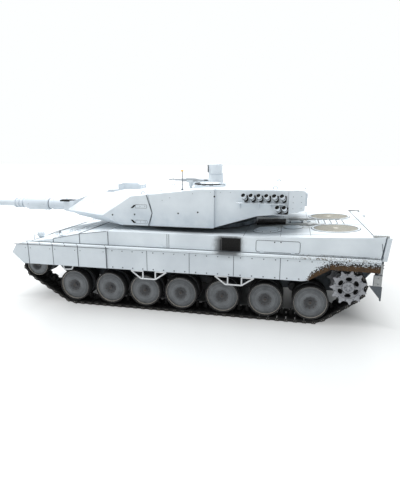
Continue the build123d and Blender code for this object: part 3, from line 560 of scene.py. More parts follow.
def make_materials():
    """Every material by name."""
    return {
        "white": plain_white("winter_white"),
        "turret": turret_white(),
        "hull": hull_white(),
        "skirt": skirt_white(),
        "gun": plain_white("gun_white", (0.62, 0.68, 0.74)),
        "step": plain_white("step_white", (0.68, 0.70, 0.72), (0.35, 0.37, 0.38)),
        "wheel": wheel_grey(),
        "rim": worn("rim_edge", (0.42, 0.39, 0.35), (0.62, 0.58, 0.52), 0.5),
        "tyre": worn("tyre_rubber", (0.012, 0.012, 0.013), (0.05, 0.05, 0.05), 0.75, amount=0.35),
        "hub": worn("hub_brown", (0.045, 0.028, 0.020), (0.11, 0.08, 0.06), 0.6),
        "sprocket": worn("sprocket_paint", (0.38, 0.39, 0.42), (0.13, 0.13, 0.14), 0.55, amount=0.6),
        "track": worn("track_black", (0.006, 0.006, 0.006), (0.022, 0.021, 0.020), 0.62, 0.2, 0.4, 0.5),
        "pad": worn("track_pad", (0.009, 0.009, 0.009), (0.040, 0.038, 0.035), 0.85, amount=0.5),
        "pin": worn("track_pin", (0.17, 0.155, 0.14), (0.45, 0.42, 0.38), 0.45, 0.5),
        "arm": worn("arm_dark", (0.030, 0.032, 0.036), (0.10, 0.10, 0.10), 0.6),
        "tub": tub_paint(),
        # Panel lines, and painted shade round the feet of the deck's domes, cap and fans.
        "line": worn("panel_line_and_contact_shade", (0.075, 0.088, 0.105), (0.16, 0.18, 0.20), 0.7, relief=0.1),
        "faint": worn("faint_line", (0.33, 0.37, 0.42), (0.45, 0.48, 0.52), 0.7, relief=0.1),
        "bolt": worn("bolt_head", (0.07, 0.08, 0.095), (0.20, 0.22, 0.25), 0.5),
        # Black paint and rubber, also used as painted shade under the turret, in the sprockets and between
        # launcher tubes.
        "black": worn("black_and_painted_shade", (0.004, 0.004, 0.004), (0.015, 0.015, 0.015), 0.85, amount=0.4),
        "mesh": worn("grille_mesh", (0.50, 0.49, 0.44), (0.30, 0.29, 0.25), 0.7, amount=0.6),
        "under": worn("grille_under", (0.22, 0.21, 0.18), (0.12, 0.11, 0.09), 0.8),
        "metal": worn("gun_metal", (0.36, 0.39, 0.42), (0.52, 0.55, 0.58), 0.5, 0.1),
        "rubber": worn("flap_rubber", (0.085, 0.10, 0.115), (0.14, 0.15, 0.165), 0.8, amount=0.5),
        "bearing": worn("bearing_black", (0.020, 0.020, 0.022), (0.08, 0.08, 0.08), 0.4, 0.6),
        "battery": worn("battery_wrap", (0.05, 0.10, 0.28), (0.03, 0.06, 0.17), 0.35),
        "board": worn("board_green", (0.02, 0.14, 0.06), (0.01, 0.08, 0.03), 0.4),
        "gearbox": worn("gearbox_grey", (0.30, 0.31, 0.33), (0.18, 0.18, 0.20), 0.45, 0.8),
        "trim": worn("trim_grey", (0.40, 0.42, 0.43), (0.24, 0.23, 0.20), 0.6),
        "window": glass("sight_glass", (0.020, 0.030, 0.045)),
        "lens": glass("lamp_lens", (0.45, 0.47, 0.48), 0.15),
        "red": glass("lamp_red", (0.40, 0.02, 0.015), 0.2),
        "yellow": worn("marker_yellow", (0.75, 0.42, 0.03), (0.55, 0.28, 0.02), 0.5),
    }


MATERIALS = make_materials()


# ---------------------------------------------------------------- running gear
LINKS = 87
HALF_LINK = 5.45         # half of the pin spacing, where the belt bends round a wheel as a polygon
CORNER_R = 24.6          # the pin line's bend under the first and the last road wheel
PIN_LINE_Z = 2.7         # the pin line's height along the ground
TEETH = 11
WHEEL_R = 19.5
TYRE_R = 21.5
IDLER_R = 15
# (radius, distance from the track's middle) profiles of a road wheel
DISH = ((0, 15.9), (2.2, 15.8), (2.6, 15.2), (2.8, 13.2), (4.6, 12.9), (5.6, 13.4), (8.2, 15.8),
        (9.2, 16.6), (10.6, 16.9), (12.6, 16.5), (14.8, 15.8), (17, 14.6), (18.2, 13.7), (19.1, 13.6))
RIM_EDGE = ((19.1, 13.6), (19.15, 15.2), (19.25, 15.5), (19.45, 15.5), (19.5, 15.2), (19.5, 14))
# Y of the inward faces of the sprocket's two toothed rings
RING_NEAR, RING_FAR = 105.3, 66.2
RING_THICK = 2.5
# one tooth's outline: (share of the step from tooth to tooth, height above the root)
TOOTH = ((-0.5, 0), (-0.30, 0.1), (-0.20, 1), (-0.06, 4.1), (0.06, 4.1), (0.20, 1), (0.30, 0.1))
TOOTH_ROOT_R = 16.6


def run_normals(circles):
    """Outward normal of the straight run after each (x, z, radius) circle."""
    normals = []
    for (x1, z1, r1), (x2, z2, r2) in zip(circles, circles[1:] + circles[:1]):
        along = Vector((x2 - x1, z2 - z1))
        lean = (r1 - r2) / along.length
        along.normalize()
        rise = math.sqrt(1 - lean ** 2)
        normals.append(Vector((along.x * lean - along.y * rise, along.y * lean + along.x * rise)))
    return normals


def belt_runs(circles):
    """Arcs, ("arc", length, centre, radius, start), and straights, ("line", length, start, along, 0)."""
    normals = run_normals(circles)
    runs = []
    for index, (x, z, radius) in enumerate(circles):
        before, after = normals[index - 1], normals[index]
        start = math.atan2(before.y, before.x)
        turn = (start - math.atan2(after.y, after.x)) % (2 * math.pi)
        runs.append(("arc", radius * turn, Vector((x, z)), radius, start))
        x2, z2, radius2 = circles[(index + 1) % len(circles)]
        begin = Vector((x, z)) + radius * after
        along = Vector((x2, z2)) + radius2 * after - begin
        runs.append(("line", along.length, begin, along.normalized(), 0))
    return runs


def belt_point(runs, distance):
    """The (x, z) point that far along the belt."""
    for kind, length, origin, detail, start in runs:
        if distance <= length:
            break
        distance -= length
    if kind == "line":
        return origin + distance * detail
    angle = start - distance / detail
    return origin + detail * Vector((math.cos(angle), math.sin(angle)))


def belt_links(circles, count):
    """(x, z, turn) of every link on a belt round (x, z, radius) circles, and the pin spacing."""
    runs = belt_runs(circles)
    pitch = sum(run[1] for run in runs) / count
    pins = [belt_point(runs, pitch * number) for number in range(count)]
    links = []
    for first, second in zip(pins, pins[1:] + pins[:1]):
        centre = (first + second) / 2
        links.append((centre.x, centre.y, math.atan2(first.y - second.y, second.x - first.x)))
    return links, pitch


def link_shapes(pitch):
    """Steel, pads and pins of a link lying on its pin line: X along the belt, Y across, Z outwards."""
    half = pitch / 2
    steel = [box(-5.1, -1.9, -17, 17, -1.6, 2), box(1.9, 5.1, -17, 17, -1.6, 2),
             box(-2.2, 2.2, -15.4, 15.4, -0.9, 0.5), box(half - 2.2, half + 2.2, -1.8, 1.8, -1.4, 1.7)]
    steel += [box(half - 2.5, half + 2.5, y - 0.7, y + 0.7, -1.5, 2.2) for y in (-17.1, 17.1)]
    horn = [(-2.1, -1.4), (2.1, -1.4), (1.9, -3.4), (1, -8.3), (-1, -8.3), (-1.9, -3.4)]
    steel.append(prism(horn, -2, 2))
    pad = [(-3.5, 0.7), (3.5, 0.7), (3.3, 2.3), (2.8, 2.7), (-2.8, 2.7), (-3.3, 2.3)]
    pads = [prism(pad, low, low + 13.4) for low in (-15.5, 2.1)]
    pins = []
    for outwards in (-1, 1):
        y = 17.8 * outwards
        pins += bolts([(half - 1.2, y, 0), (half + 1.2, y, 0)], (0, outwards, 0), 0.55, 0.22, 8)
        pins += bolts([(half, y, 1.5)], (0, outwards, 0), 0.5, 0.22, 8)
    return {"track": steel, "pad": pads, "pin": pins}


def track_circles():
    """Circles of the pin line round the idler, the end road wheels and the sprocket."""
    corner_z = PIN_LINE_Z + CORNER_R
    return [(IDLER_X, IDLER_Z, math.hypot(17.15, HALF_LINK)), (WHEEL_X[1] + 1.4, corner_z, CORNER_R),
            (WHEEL_X[7] - 1.4, corner_z, CORNER_R),
            (SPROCKET_X, SPROCKET_Z, HALF_LINK / math.sin(math.pi / TEETH))]


def make_tracks():
    """Both tracks, link by link."""
    links, pitch = belt_links(track_circles(), LINKS)
    shapes = link_shapes(pitch)
    for name, sign in SIDES:
        places = [Matrix.Translation((x, sign * TRACK_Y, z)) @ Matrix.Rotation(turn, 4, "Y")
                  for x, z, turn in links]
        piece(f"track_links_{name}", "hull", everywhere(shapes, *places), 0.22,
              [f"track_{name}"])


def tyre_profile(rim_r, tyre_r):
    """One tyre's (radius, distance from the track's middle) profile; an idler has a bare band."""
    if tyre_r == rim_r:
        return [(rim_r, 15.2), (rim_r, 4.2)]
    return [(rim_r, 15.8), (rim_r + 0.3, 16.4), (rim_r + 1.2, 16.5), (tyre_r - 0.2, 16), (tyre_r, 15),
            (tyre_r, 5.2), (tyre_r - 0.3, 4.3), (rim_r + 0.5, 4.1), (rim_r, 4.4)]


def make_wheel(name, node, x, z, sign, rim_r, tyre_r):
    """A pair of dished discs on one hub, with a tyre and a bright rim edge on each."""
    scale = rim_r / WHEEL_R
    back = [(rim_r, 4.2), (rim_r - 1, 4), (6, 4), (6, -4), (rim_r - 1, -4), (rim_r, -4.2)]
    far_side = [(rim_r, -16.6), (rim_r - 0.8, -17), (rim_r - 2, -16.8), (rim_r - 2.6, -12), (6, -12),
                (6, -16), (0, -16)]
    hub_y = TRACK_Y + 16
    hub = bolts(around(x, TRACK_Y + 14.7, z, 10, 7.2 * scale, 18), LEFT, 0.55)
    hub += bolts([(x, hub_y, z)], LEFT, 1, 0.6, 12)
    hub += bolts(around(x, hub_y, z, 6, 2.2), LEFT, 0.35, 0.3)

    def spun(*profiles):
        return [turned(profile, (x, TRACK_Y, z)) for profile in profiles]

    def scaled(profile):
        return [(radius * scale, y) for radius, y in profile]

    tyre = tyre_profile(rim_r, tyre_r)
    inner_tyre = [(radius, -y) for radius, y in tyre]
    groups = {"wheel": spun(scaled(DISH), back, far_side), "rim": spun(scaled(RIM_EDGE)), "hub": hub,
              "tyre": spun(tyre, inner_tyre)}
    piece(name, node, on_side(groups, sign), 0, [node], (x, z))


def toothed_outline():
    """Outline of a sprocket ring with pointed teeth and round roots."""
    step = 2 * math.pi / TEETH
    spots = [((number + part) * step, TOOTH_ROOT_R + rise) for number in range(TEETH) for part, rise in TOOTH]
    return [(radius * math.cos(angle), radius * math.sin(angle)) for angle, radius in spots]


def ring_plate(outline, inner_r, low, high, centre):
    """A flat ring between an outline and a circle, with thickness, about the Y axis."""
    count = len(outline)
    x, z = centre
    inside = [(a * inner_r / math.hypot(a, b), b * inner_r / math.hypot(a, b)) for a, b in outline]
    rows = ((outline, low), (outline, high), (inside, high), (inside, low))
    points = [Vector((x + a, y, z + b)) for row, y in rows for a, b in row]
    faces = []
    for row in range(len(rows)):
        below, above = row * count, (row + 1) % len(rows) * count
        for number in range(count):
            after = (number + 1) % count
            faces.append((below + number, below + after, above + after, above + number))
    return points, faces


def sector_rim(inner_r, outer_r, start, sector, per_edge=8):
    """Points round the edge of one sector of a round plate."""
    shares = [k / per_edge for k in range(per_edge)]
    spots = [(outer_r, start + sector * share) for share in shares]
    spots += [(outer_r + (inner_r - outer_r) * share, start + sector) for share in shares]
    spots += [(inner_r, start + sector * (1 - share)) for share in shares]
    spots += [(inner_r + (outer_r - inner_r) * share, start) for share in shares]
    return [Vector((radius * math.cos(angle), radius * math.sin(angle))) for radius, angle in spots]


def windowed_plate(inner_r, outer_r, windows, low, high, centre):
    """A round plate with oblong windows, about the Y axis, built sector by sector."""
    x, z = centre
    points, faces = [], []
    sector = 2 * math.pi / windows
    half_radial, half_across = 2.4, 3.6
    for number in range(windows):
        start = number * sector
        hub_angle = start + sector / 2
        radial = Vector((math.cos(hub_angle), math.sin(hub_angle)))
        across = Vector((-radial.y, radial.x))
        hole_centre = radial * (inner_r + outer_r) / 2
        first = len(points)
        spots = sector_rim(inner_r, outer_r, start, sector)
        for spot in spots:
            aim = (spot - hole_centre).normalized()
            hole = hole_centre + radial * aim.dot(radial) * half_radial
            hole += across * aim.dot(across) * half_across
            for y in (low, high):
                points.append(Vector((x + spot.x, y, z + spot.y)))
                points.append(Vector((x + hole.x, y, z + hole.y)))
        for k in range(len(spots)):
            a, b = first + 4 * k, first + 4 * ((k + 1) % len(spots))
            faces += [(a, b, b + 1, a + 1), (a + 2, a + 3, b + 3, b + 2), (a + 1, b + 1, b + 3, a + 3)]
    return points, faces


def make_sprocket(name, sign):
    """A drive sprocket: two toothed rings on a drum, an outer plate with windows, bolts and black painted
    shade.
    """
    x, z = centre = (SPROCKET_X, SPROCKET_Z)

    def spun(*profiles):
        return [turned(profile, (x, 0, z)) for profile in profiles]

    drum = [(13.2, 68.7), (14, 69), (14, 83), (8, 83), (8, 91), (14, 91), (14, 105.3),
            (13.2, 105.4), (13.2, 96)]
    ring_bead = [(13.4, 107), (13.9, 107.9), (14.6, 107.9), (14.8, 107.6)]
    hub = [(7, 105.6), (6.8, 107.4), (5.6, 107.9), (4.8, 107.7), (4.4, 106.7), (2.4, 106.6), (2.2, 107.5),
           (1.6, 107.9), (0, 107.9)]
    shapes = spun(drum, ring_bead, hub, [(13.2, 66.2), (10, 67.2), (0, 67.2)])
    shapes += [ring_plate(toothed_outline(), 13.2, y, y + RING_THICK, centre) for y in (RING_NEAR, RING_FAR)]
    shapes.append(windowed_plate(6.6, 13.4, 6, RING_NEAR + 0.2, RING_NEAR + 1.4, centre))
    rib = box(6.4, 13.2, -0.5, 0.5, 0, 1.1)
    lying = Matrix.Rotation(math.radians(-90), 4, "X")
    turns = [Matrix.Rotation(math.radians(-60 * number), 4, "Y") for number in range(6)]
    shapes += placed([rib], *(Matrix.Translation((x, RING_NEAR + 1.3, z)) @ turn @ lying for turn in turns))
    heads = bolts(around(x, 107.8, z, TEETH, 15.5, 180 / TEETH), LEFT, 0.8, 0.45)
    heads += bolts(around(x, 106.7, z, 6, 3.4), LEFT, 0.55)
    # Painted shade: a black sheet behind the windows and a black ring round the hub's raised middle.
    dark = spun([(13, 100), (6, 100)], [(7, 107.3), (7.3, 107.6), (7.6, 107.3)])
    groups = on_side({"sprocket": shapes, "black": dark, "bolt": heads}, sign)
    node = f"sprocket_{name}"
    piece(f"sprocket_detail_{name}", node, groups, 0.12, [node])


def make_running_gear():
    """Tracks, road wheels, idlers and sprockets on both sides."""
    make_tracks()
    for name, sign in SIDES:
        for number in WHEELS:
            make_wheel(f"wheel_detail_{name}_{number}", f"road_wheel_{name}_{number}",
                       WHEEL_X[number], AXLE_Z, sign, WHEEL_R, TYRE_R)
        make_wheel(f"idler_detail_{name}", f"idler_{name}", IDLER_X, IDLER_Z, sign, IDLER_R, IDLER_R)
        make_sprocket(name, sign)


# ---------------------------------------------------------------- hull sides
SKIRT_REAR_X = -71.5
SKIRT_PITCH = 54.2       # length of a skirt panel
LEDGE_Z = 86.2


def make_skirt_bolts():
    """Bolt heads and panel lines on the skirts and along the ledge."""
    face = SKIRT_Y - 0.8
    stations = [SKIRT_REAR_X + SKIRT_PITCH * panel + 5.6 + 13.5 * number
                for panel in range(6) for number in range(4)]
    ledge = (253.7, 293, 329, 365, 347, 311)
    heads = bolts([(x, face, 81) for x in stations], LEFT, 0.72)
    heads += bolts([(x, face, 59.7) for x in stations if x > 8], LEFT, 0.85)
    front_panels = (257.5, 289.5, 297, 325.5, 333, 361.5, 369)
    heads += bolts([(x, SKIRT_Y, 79) for x in front_panels], LEFT, 0.6, 0.4)
    heads += bolts([(x, SKIRT_Y, 84.9) for x in ledge], LEFT, 0.7)
    heads += bolts([(x + 3, SKIRT_Y - 3, 86) for x in ledge], UP, 0.8, 0.6)
    y = SKIRT_Y - 0.75
    rows = [(0.40, (-71, y, 83.6), (250, y, 83.6)), (0.30, (-17.3, y, 75), (-17.3, y, 83.5)),
            (0.45, (250, SKIRT_Y, 83.6), (386, SKIRT_Y, 83.6))]
    rows += [(0.32, (x, y, 57.7), (x, y, 83.5)) for x in (36.9, 91.1, 145.3, 199.5)]
    y = SKIRT_Y - 0.05
    rows += [(width, (x, y, 58), (x, y, 85.8))
             for x, width in ((253.7, 0.62), (293, 0.55), (329, 0.42), (365, 0.48))]
    piece("skirt_bolts", "hull", on_both({"bolt": heads, "line": seams(rows)}))


def make_side_seams():
    """Panel lines, the rounded door, its hinges and the small fittings on the hull's sides."""
    y = WALL_Y + 0.02
    rows = [(0.50, (x, y, LEDGE_Z), (x, y, height_on(DECK_LINE, x) - 0.4)) for x in (253.5, 293.4, 331.6)]
    rows += [(0.30, (x, y, LEDGE_Z), (x, y, 104)) for x in (172.6, 175)]
    rows += [(0.50, (-71, y, 86.3), (374, y, 86.3)), (0.22, (-60, y, 87.6), (-8, y, 88.1)),
             (0.45, (255, y - 0.1, 104.3), (293, y - 0.1, 99.4), (332, y - 0.1, 91.2)),
             (0.35, (-71.5, y, 103.9), (-74, y, 87))]
    door = [(x, y, z) for x, z in rounded(15.6, 66, 88, 101.9, 2.6)]
    lines = seams(rows) + wire(door, 0.32, True, 6)
    dark = bolts([(44.6, WALL_Y, 100.2), (37.4, WALL_Y, 100.4)], LEFT, 0.75, 0.35, 10)
    white = [turned([(1.6, 0), (1.4, 0.7), (0.6, 0.9), (0, 0.9)], (179, WALL_Y, 88.8)),
             rod((189, y + 0.3, 87.6), (183, y + 0.3, 87.6), 0.5)]
    for x in (59.1, 23.3):
        white.append(rod((x - 2.2, y + 0.3, 87.6), (x + 2.2, y + 0.3, 87.6), 0.8))
        white.append(box(x - 1.4, x + 1.4, WALL_Y - 0.2, y + 0.4, 87, 89.6))
    piece("side_panel_lines", "hull",
          on_both({"line": lines, "black": dark, "white": white}))


def make_exhaust_grilles():
    """The ribbed black exhaust grille in each side wall."""
    low_x, high_x, low_z, high_z = 84.6, 106.6, 87.2, 102.9
    ribs = 15
    black = [box(low_x, high_x, WALL_Y - 0.5, WALL_Y + 0.15, low_z, high_z)]
    for number in range(ribs):
        x = low_x + (high_x - low_x) * (number + 0.5) / ribs
        black.append(box(x - 0.42, x + 0.42, WALL_Y, WALL_Y + 0.9, low_z + 0.3, high_z - 0.3))
    for z in (low_z + 5.5, high_z - 5.5):
        black.append(box(low_x + 0.4, high_x - 0.4, WALL_Y, WALL_Y + 0.6, z - 0.3, z + 0.3))
    border = [box(x, x + 0.7, WALL_Y - 0.3, WALL_Y + 0.9, low_z, high_z + 0.5)
              for x in (low_x - 0.7, high_x)]
    piece("exhaust_grilles", "hull", on_both({"black": black, "arm": border}), 0.12)


# ---------------------------------------------------------------- deck
FAN_X, FAN_Y = -28, 50
FAN_R = 26.5             # inside the rim
FAN_WIRES = 29
DOME_X, DOME_Y = 56, 66


def make_fans():
    """Two round fan covers with crossed wire mesh, a rolled rim, a hub and dark rings of painted shade at the
    rim.
    """
    rim = disc([(FAN_R, 0.1), (26.9, 0.7), (27.8, 0.85), (28.7, 0.7), (29.1, 0.2), (29.1, -0.4)], 72)
    under = disc([(0, -0.45), (26.6, -0.45), (26.6, 0.1)])
    # Dark rings of painted shade round the rim's foot and inside its lip.
    lines = [disc([(29, 0.35), (29.9, 0.2), (29.9, -0.3)], 72),
             disc([(26.1, 0.1), (26.2, 0.55), (26.7, 0.55)], 72)]
    mesh = []
    for number in range(FAN_WIRES):
        offset = -25 + 50 * number / (FAN_WIRES - 1)
        reach = math.sqrt(FAN_R ** 2 - offset ** 2)
        mesh.append(box(offset - 0.35, offset + 0.35, -reach, reach, -0.25, 0.1))
        mesh.append(box(-reach, reach, offset - 0.35, offset + 0.35, -0.05, 0.3))
    mesh.append(disc([(3.6, 0.2), (3.4, 0.6), (2.4, 0.75), (0, 0.75)]))
    mesh += bolts([(a, b, 0.75) for a, b in circle(12, 27.8)], UP, 0.5, 0.15)
    places = [lying_on(DECK_LINE, FAN_X, y) for y in (-FAN_Y, FAN_Y)]
    groups = everywhere({"white": [rim], "mesh": mesh, "under": [under], "line": lines}, *places)
    piece("fan_covers", "hull", groups, 0, ["fan_grilles"])


def deck_domes():
    """White shapes, rings and bolts of the two low domes and the filler cap; the rings are painted shade at
    their feet and steps.
    """
    places = [lying_on(DECK_LINE, DOME_X, y) for y in (-DOME_Y, DOME_Y)]
    dome = disc([(17.6, -0.3), (17.4, 0.8), (16, 1.6), (14.6, 1.9), (12.4, 3.1), (8, 3.5), (0, 3.6)])
    # Dark rings of painted shade at the domes' feet and steps.
    rings = [disc([(17.5, 0.35), (18.1, 0.25), (18.1, -0.3)]),
             disc([(14.2, 1.9), (14.5, 2.15), (14.8, 1.85)])]
    heads = bolts([(a, b, 1.5) for a, b in circle(10, 16.2)], UP, 0.5, 0.4)
    cap_place = lying_on(DECK_LINE, 24, 44)
    cap = [disc([(12, -0.2), (11.6, 1), (9.4, 1.9), (4, 2.1), (0, 2.1)])]
    cap += handle((-3, -2, 1.8), (3, -2, 1.8), 0.7, 0.4)
    # A dark ring of painted shade at the cap's foot.
    cap_ring = disc([(12, 0.3), (12.5, 0.2), (12.5, -0.3)])
    white = placed([dome], *places) + placed(cap, cap_place)
    return white, placed(rings, *places) + placed([cap_ring], cap_place), placed(heads, *places)


def deck_vents():
    """White, dark and ring shapes of the vent box, the tube, the tow block and the louvres."""
    place = lying_on(DECK_LINE, 55, 7)
    slats = [prism([(x - 1.3, 2.9), (x + 0.9, 3.7), (x + 1.5, 3.5), (x - 0.5, 2.7)], -14.2, 14.2)
             for x in [-16.5 + 3.3 * number for number in range(10)]]
    dark = placed([box(-21, 18, -15, 15, -0.2, 3.2)] + slats, place)
    place = lying_on(DECK_LINE, 20, 8, 1.2)
    white = placed([rod((-11, 0, 0), (11, 0, 0), 1.3, 20)], place)
    rings = placed([rod((x - 0.7, 0, 0), (x + 0.7, 0, 0), 1.45, 20) for x in (-8, 8)], place)
    block = [box(-2.5, 2.5, -4, 4, -0.2, 1.5), rod((0, -3, 1.8), (0, 3, 1.8), 0.6)]
    white += placed(block, lying_on(DECK_LINE, 3, -2))
    places = [lying_on(DECK_LINE, x, 0) for x in (-8, -16, -24, -32, -40)]
    white += placed([prism([(-1.7, -0.1), (-1, 0.8), (0.8, 0.8), (1.7, -0.1)], -17, 17)], *places)
    dark += placed([box(-2.7, -1.8, -17, 17, -0.1, 0.15)], *places)
    return white, dark, rings


def deck_tools():
    """Pioneer tools and their brackets lying between the domes and the fans."""
    shapes = []
    brackets = [(8, 20, 3, 2.2), (3, 31, 2.2, 2.2), (12, -12, 2.6, 2.2)]
    for y, start, end in ((-20, -40, 30), (24, -6, 34), (29, -4, 16)):
        spots = [(x, y, height_on(DECK_LINE, x) + 1) for x in (start, end)]
        shapes.append(rod(*spots, 0.8))
        brackets += [(x, y, 0.8, 1.7) for x in (start + 4, end - 4)]
    for x, y, half_x, half_y in brackets:
        floor = height_on(DECK_LINE, x)
        shapes.append(box(x - half_x, x + half_x, y - half_y, y + half_y, floor - 0.2, floor + 1.9))
    floor = height_on(DECK_LINE, -12)
    blade = [(-6, 20.5), (-14, 19.8), (-17.5, 24), (-14, 28.2), (-6, 27.5)]
    shapes.append(prism(blade, floor + 0.4, floor + 1.2, "Z"))
    return shapes


def deck_lines():
    """Panel lines across and along the hull's upper surface."""
    def on_deck(x, y):
        return (x, y, height_on(DECK_LINE, x) + 0.02)

    across = ((104, -64, 0.55), (104, 4, 0.25), (104, 38.5, 0.25), (104, 82, 0.25),
              (109, 255, 0.25), (109, 293.4, 0.8), (109, 331.8, 0.3), (109, 366, 0.4))
    rows = [(width, on_deck(x, -half_y), on_deck(x, half_y)) for half_y, x, width in across]
    for y in (-92, -21, 21, 92):
        rows.append((0.22, *(on_deck(x, y) for x in (-68, -62, 4, 37, 38.5))))
    for y in (-100, -30, 30, 100):
        rows += [(0.22, on_deck(start, y), on_deck(end, y)) for start, end in ((256, 292.5), (294, 331))]
    return seams(rows)


def make_deck():
    """Covers, louvres, filler cap, tools, panel lines and rings of painted shade on the engine deck."""
    white, lines, heads = deck_domes()
    vent_white, dark, rings = deck_vents()
    groups = {"white": white + vent_white, "black": dark, "line": lines + rings + deck_lines(), "bolt": heads,
              "trim": deck_tools()}
    piece("deck_covers", "hull", groups, 0.15, ["deck_fittings"])


# ---------------------------------------------------------------- front and rear
GLACIS_UP = (0.15, 0, 1)


def headlamp():
    """White and lens shapes of the left lamp, its foot and its wire guard."""
    spot = (0, 86, 91.5)
    body = [(0, 361), (2.6, 361), (3.8, 362.5), (4, 364), (4, 368.6), (3.4, 369)]
    white = [turned(body, spot, FORWARD, 28), box(362.5, 367.5, 84.4, 87.6, 84.6, 88.4)]
    white += wire([(372.5, 80, 85), (371, 80, 93.4), (370.6, 82, 94.2), (370.6, 90, 94.2), (371, 92, 93.4),
                   (372.5, 92, 85)], 0.7)
    white += wire([(371, 80, 90), (371, 92, 90)], 0.5)
    lens = [turned([(3.5, 368.3), (3, 368.9), (0, 369.3)], spot, FORWARD, 28)]
    return white, lens


def front_hook():
    """White and dark shapes of the left tow hook, its pin and its shackle."""
    hook = [(386.5, 55), (393, 56), (394, 60), (392.5, 64.5), (386.5, 65.5)]
    shackle = [(391, 36.4, 60.4), (396.5, 37.4, 58.4), (397.5, 40, 57.8), (396.5, 42.6, 58.4),
               (391, 43.6, 60.4)]
    white = [prism(hook, 38.2, 41.8)] + wire(shackle, 1)
    return white, [rod((390.6, 37.9, 60.4), (390.6, 42.1, 60.4), 1.9, 16)]


def mirror():
    """White and glass shapes of the left mirror on its wire arm."""
    foot = height_on(DECK_LINE, 322)
    white = [box(319, 325, 100.6, 105.4, foot - 0.4, foot + 2.2),
             box(322.4, 323.6, 105, 109.5, 98.4, 102.6)]
    white += wire([(322, 103, 95), (322, 104, 99.5), (323, 106.5, 100.5)], 0.5)
    return white, [box(322.2, 322.5, 105.5, 109, 98.9, 102.1)]


def make_front():
    """Headlamps in their guards, tow hooks, mirrors, periscopes and glacis handles."""
    white, lens = headlamp()
    hook, dark = front_hook()
    mirror_white, window = mirror()
    white += hook + mirror_white
    cap = (352, 66, 87.6)
    white.append(turned([(3.6, 0), (4.4, 1), (3.8, 2), (0, 2)], cap, GLACIS_UP))
    dark.append(turned([(3.9, 1.9), (0, 2.3)], cap, GLACIS_UP))
    for x, y in ((340, 50), (340, 84), (308, 84), (308, 60)):
        z = height_on(DECK_LINE, x)
        white += handle((x, y - 3, z), (x, y + 3, z), 2.2, 0.45)
    spots = [(x, y, height_on(DECK_LINE, x)) for x in (297.5, 327.5, 336) for y in (20, 40, 60, 80, 100)]
    heads = bolts(spots, GLACIS_UP, 0.6, 0.4)
    places = [lying_on(DECK_LINE, 303, y) for y in (-62, -52, -42)]
    periscope = prism([(-2.5, -0.2), (2.5, -0.2), (2.2, 2), (0.8, 3), (-2.5, 3)], -4, 4)
    groups = {"white": both(white) + placed([periscope], *places), "lens": both(lens), "black": both(dark),
              "window": both(window) + placed([box(2, 2.7, -3.3, 3.3, 0.7, 2)], *places),
              "bolt": both(heads)}
    piece("front_details", "hull", groups, 0.12, ["front_fittings"])


def mud_flap():
    """Rubber, metal and trim shapes of the left mud flap, its rails and its bracket."""
    leaf = [(-76.6, 82), (-75, 82), (-75, 40), (-76.6, 39)]
    flap = [prism(leaf, 71, 104), prism([(96.5, 52), (106.5, 52), (106.5, 36.5)], -76.8, -75, "X"),
            prism([(-62.6, 54), (-76.8, 53.4), (-76.8, 36.8)], 105.2, 106.6)]
    metal = [rod((-77, 72, z), (-77, 104, z), 0.5) for z in (78, 74.5)]
    edges = ((-67, 53.4, -67, 66.8), (-67, 66.8, -76.2, 66.8), (-67, 53.4, -76.2, 53.4))
    metal += seams([(0.45, (x1, 106.5, z1), (x2, 106.5, z2)) for x1, z1, x2, z2 in edges])
    metal += bolts([(-72, 106.4, 56.5), (-72, 106.4, 63.5)], LEFT, 0.7, 0.4)
    trim = [box(-76, -67.2, 104.8, 106.4, 53.6, 66.6), box(-76, -72, 96, 105.6, 66, 80)]
    return flap, metal, trim


def make_rear():
    """Rear corner plates, mud flaps on brackets, tail lamps, louvres, hooks and trim blocks."""
    flap, metal, trim = mud_flap()
    lamp = (0, 46, 96)
    hook = [(-73.2, 53), (-79.6, 55), (-80, 59), (-78.6, 63), (-73.8, 63.6)]
    white = [prism([(-76.4, 109.8), (-81.4, 110.3), (-78.4, 84), (-73.2, 84)], 64.2, 109.9),
             prism([(-73.8, 104), (-78.4, 104), (-77.9, 100), (-73.5, 100)], 70, 104),
             turned([(3.6, 74), (3.6, 77.6), (3, 78)], lamp, BACK, 24), prism(hook, 38.2, 41.8)]
    red = [turned([(3.1, 77.4), (2.4, 78.2), (0, 78.6)], lamp, BACK, 24)]
    dark = [box(-76, -72, 8.5, 39.5, 88.5, 103.5), rod((-76.8, 37.9, 58.6), (-76.8, 42.1, 58.6), 1.8, 16)]
    for number in range(7):
        z = 89.5 + 2.1 * number
        metal.append(prism([(-76, z), (-78, z + 1.3), (-77.4, z + 1.7), (-75.4, z + 0.4)], 9, 39))
        x = -78.6 + 2.4 * number
        trim.append(box(x, x + 1.9, 103, 108.6, 110, 112.3))
    trim.append(box(-78.8, -62.2, 103.6, 108, 110, 111.3))
    groups = on_both({"white": white, "rubber": flap, "red": red, "black": dark, "bolt": metal, "trim": trim})
    piece("rear_details", "hull", groups, 0.12, ["rear_fittings"])


# ---------------------------------------------------------------- turret
BUSTLE_Y = 92            # the turret's side behind its middle
MARKER_ROD = (165, 72)
WEDGE_TOP = (Vector((355, 30, 118.5)), Vector((267, 95, 122)), Vector((228, 95, 146.5)))


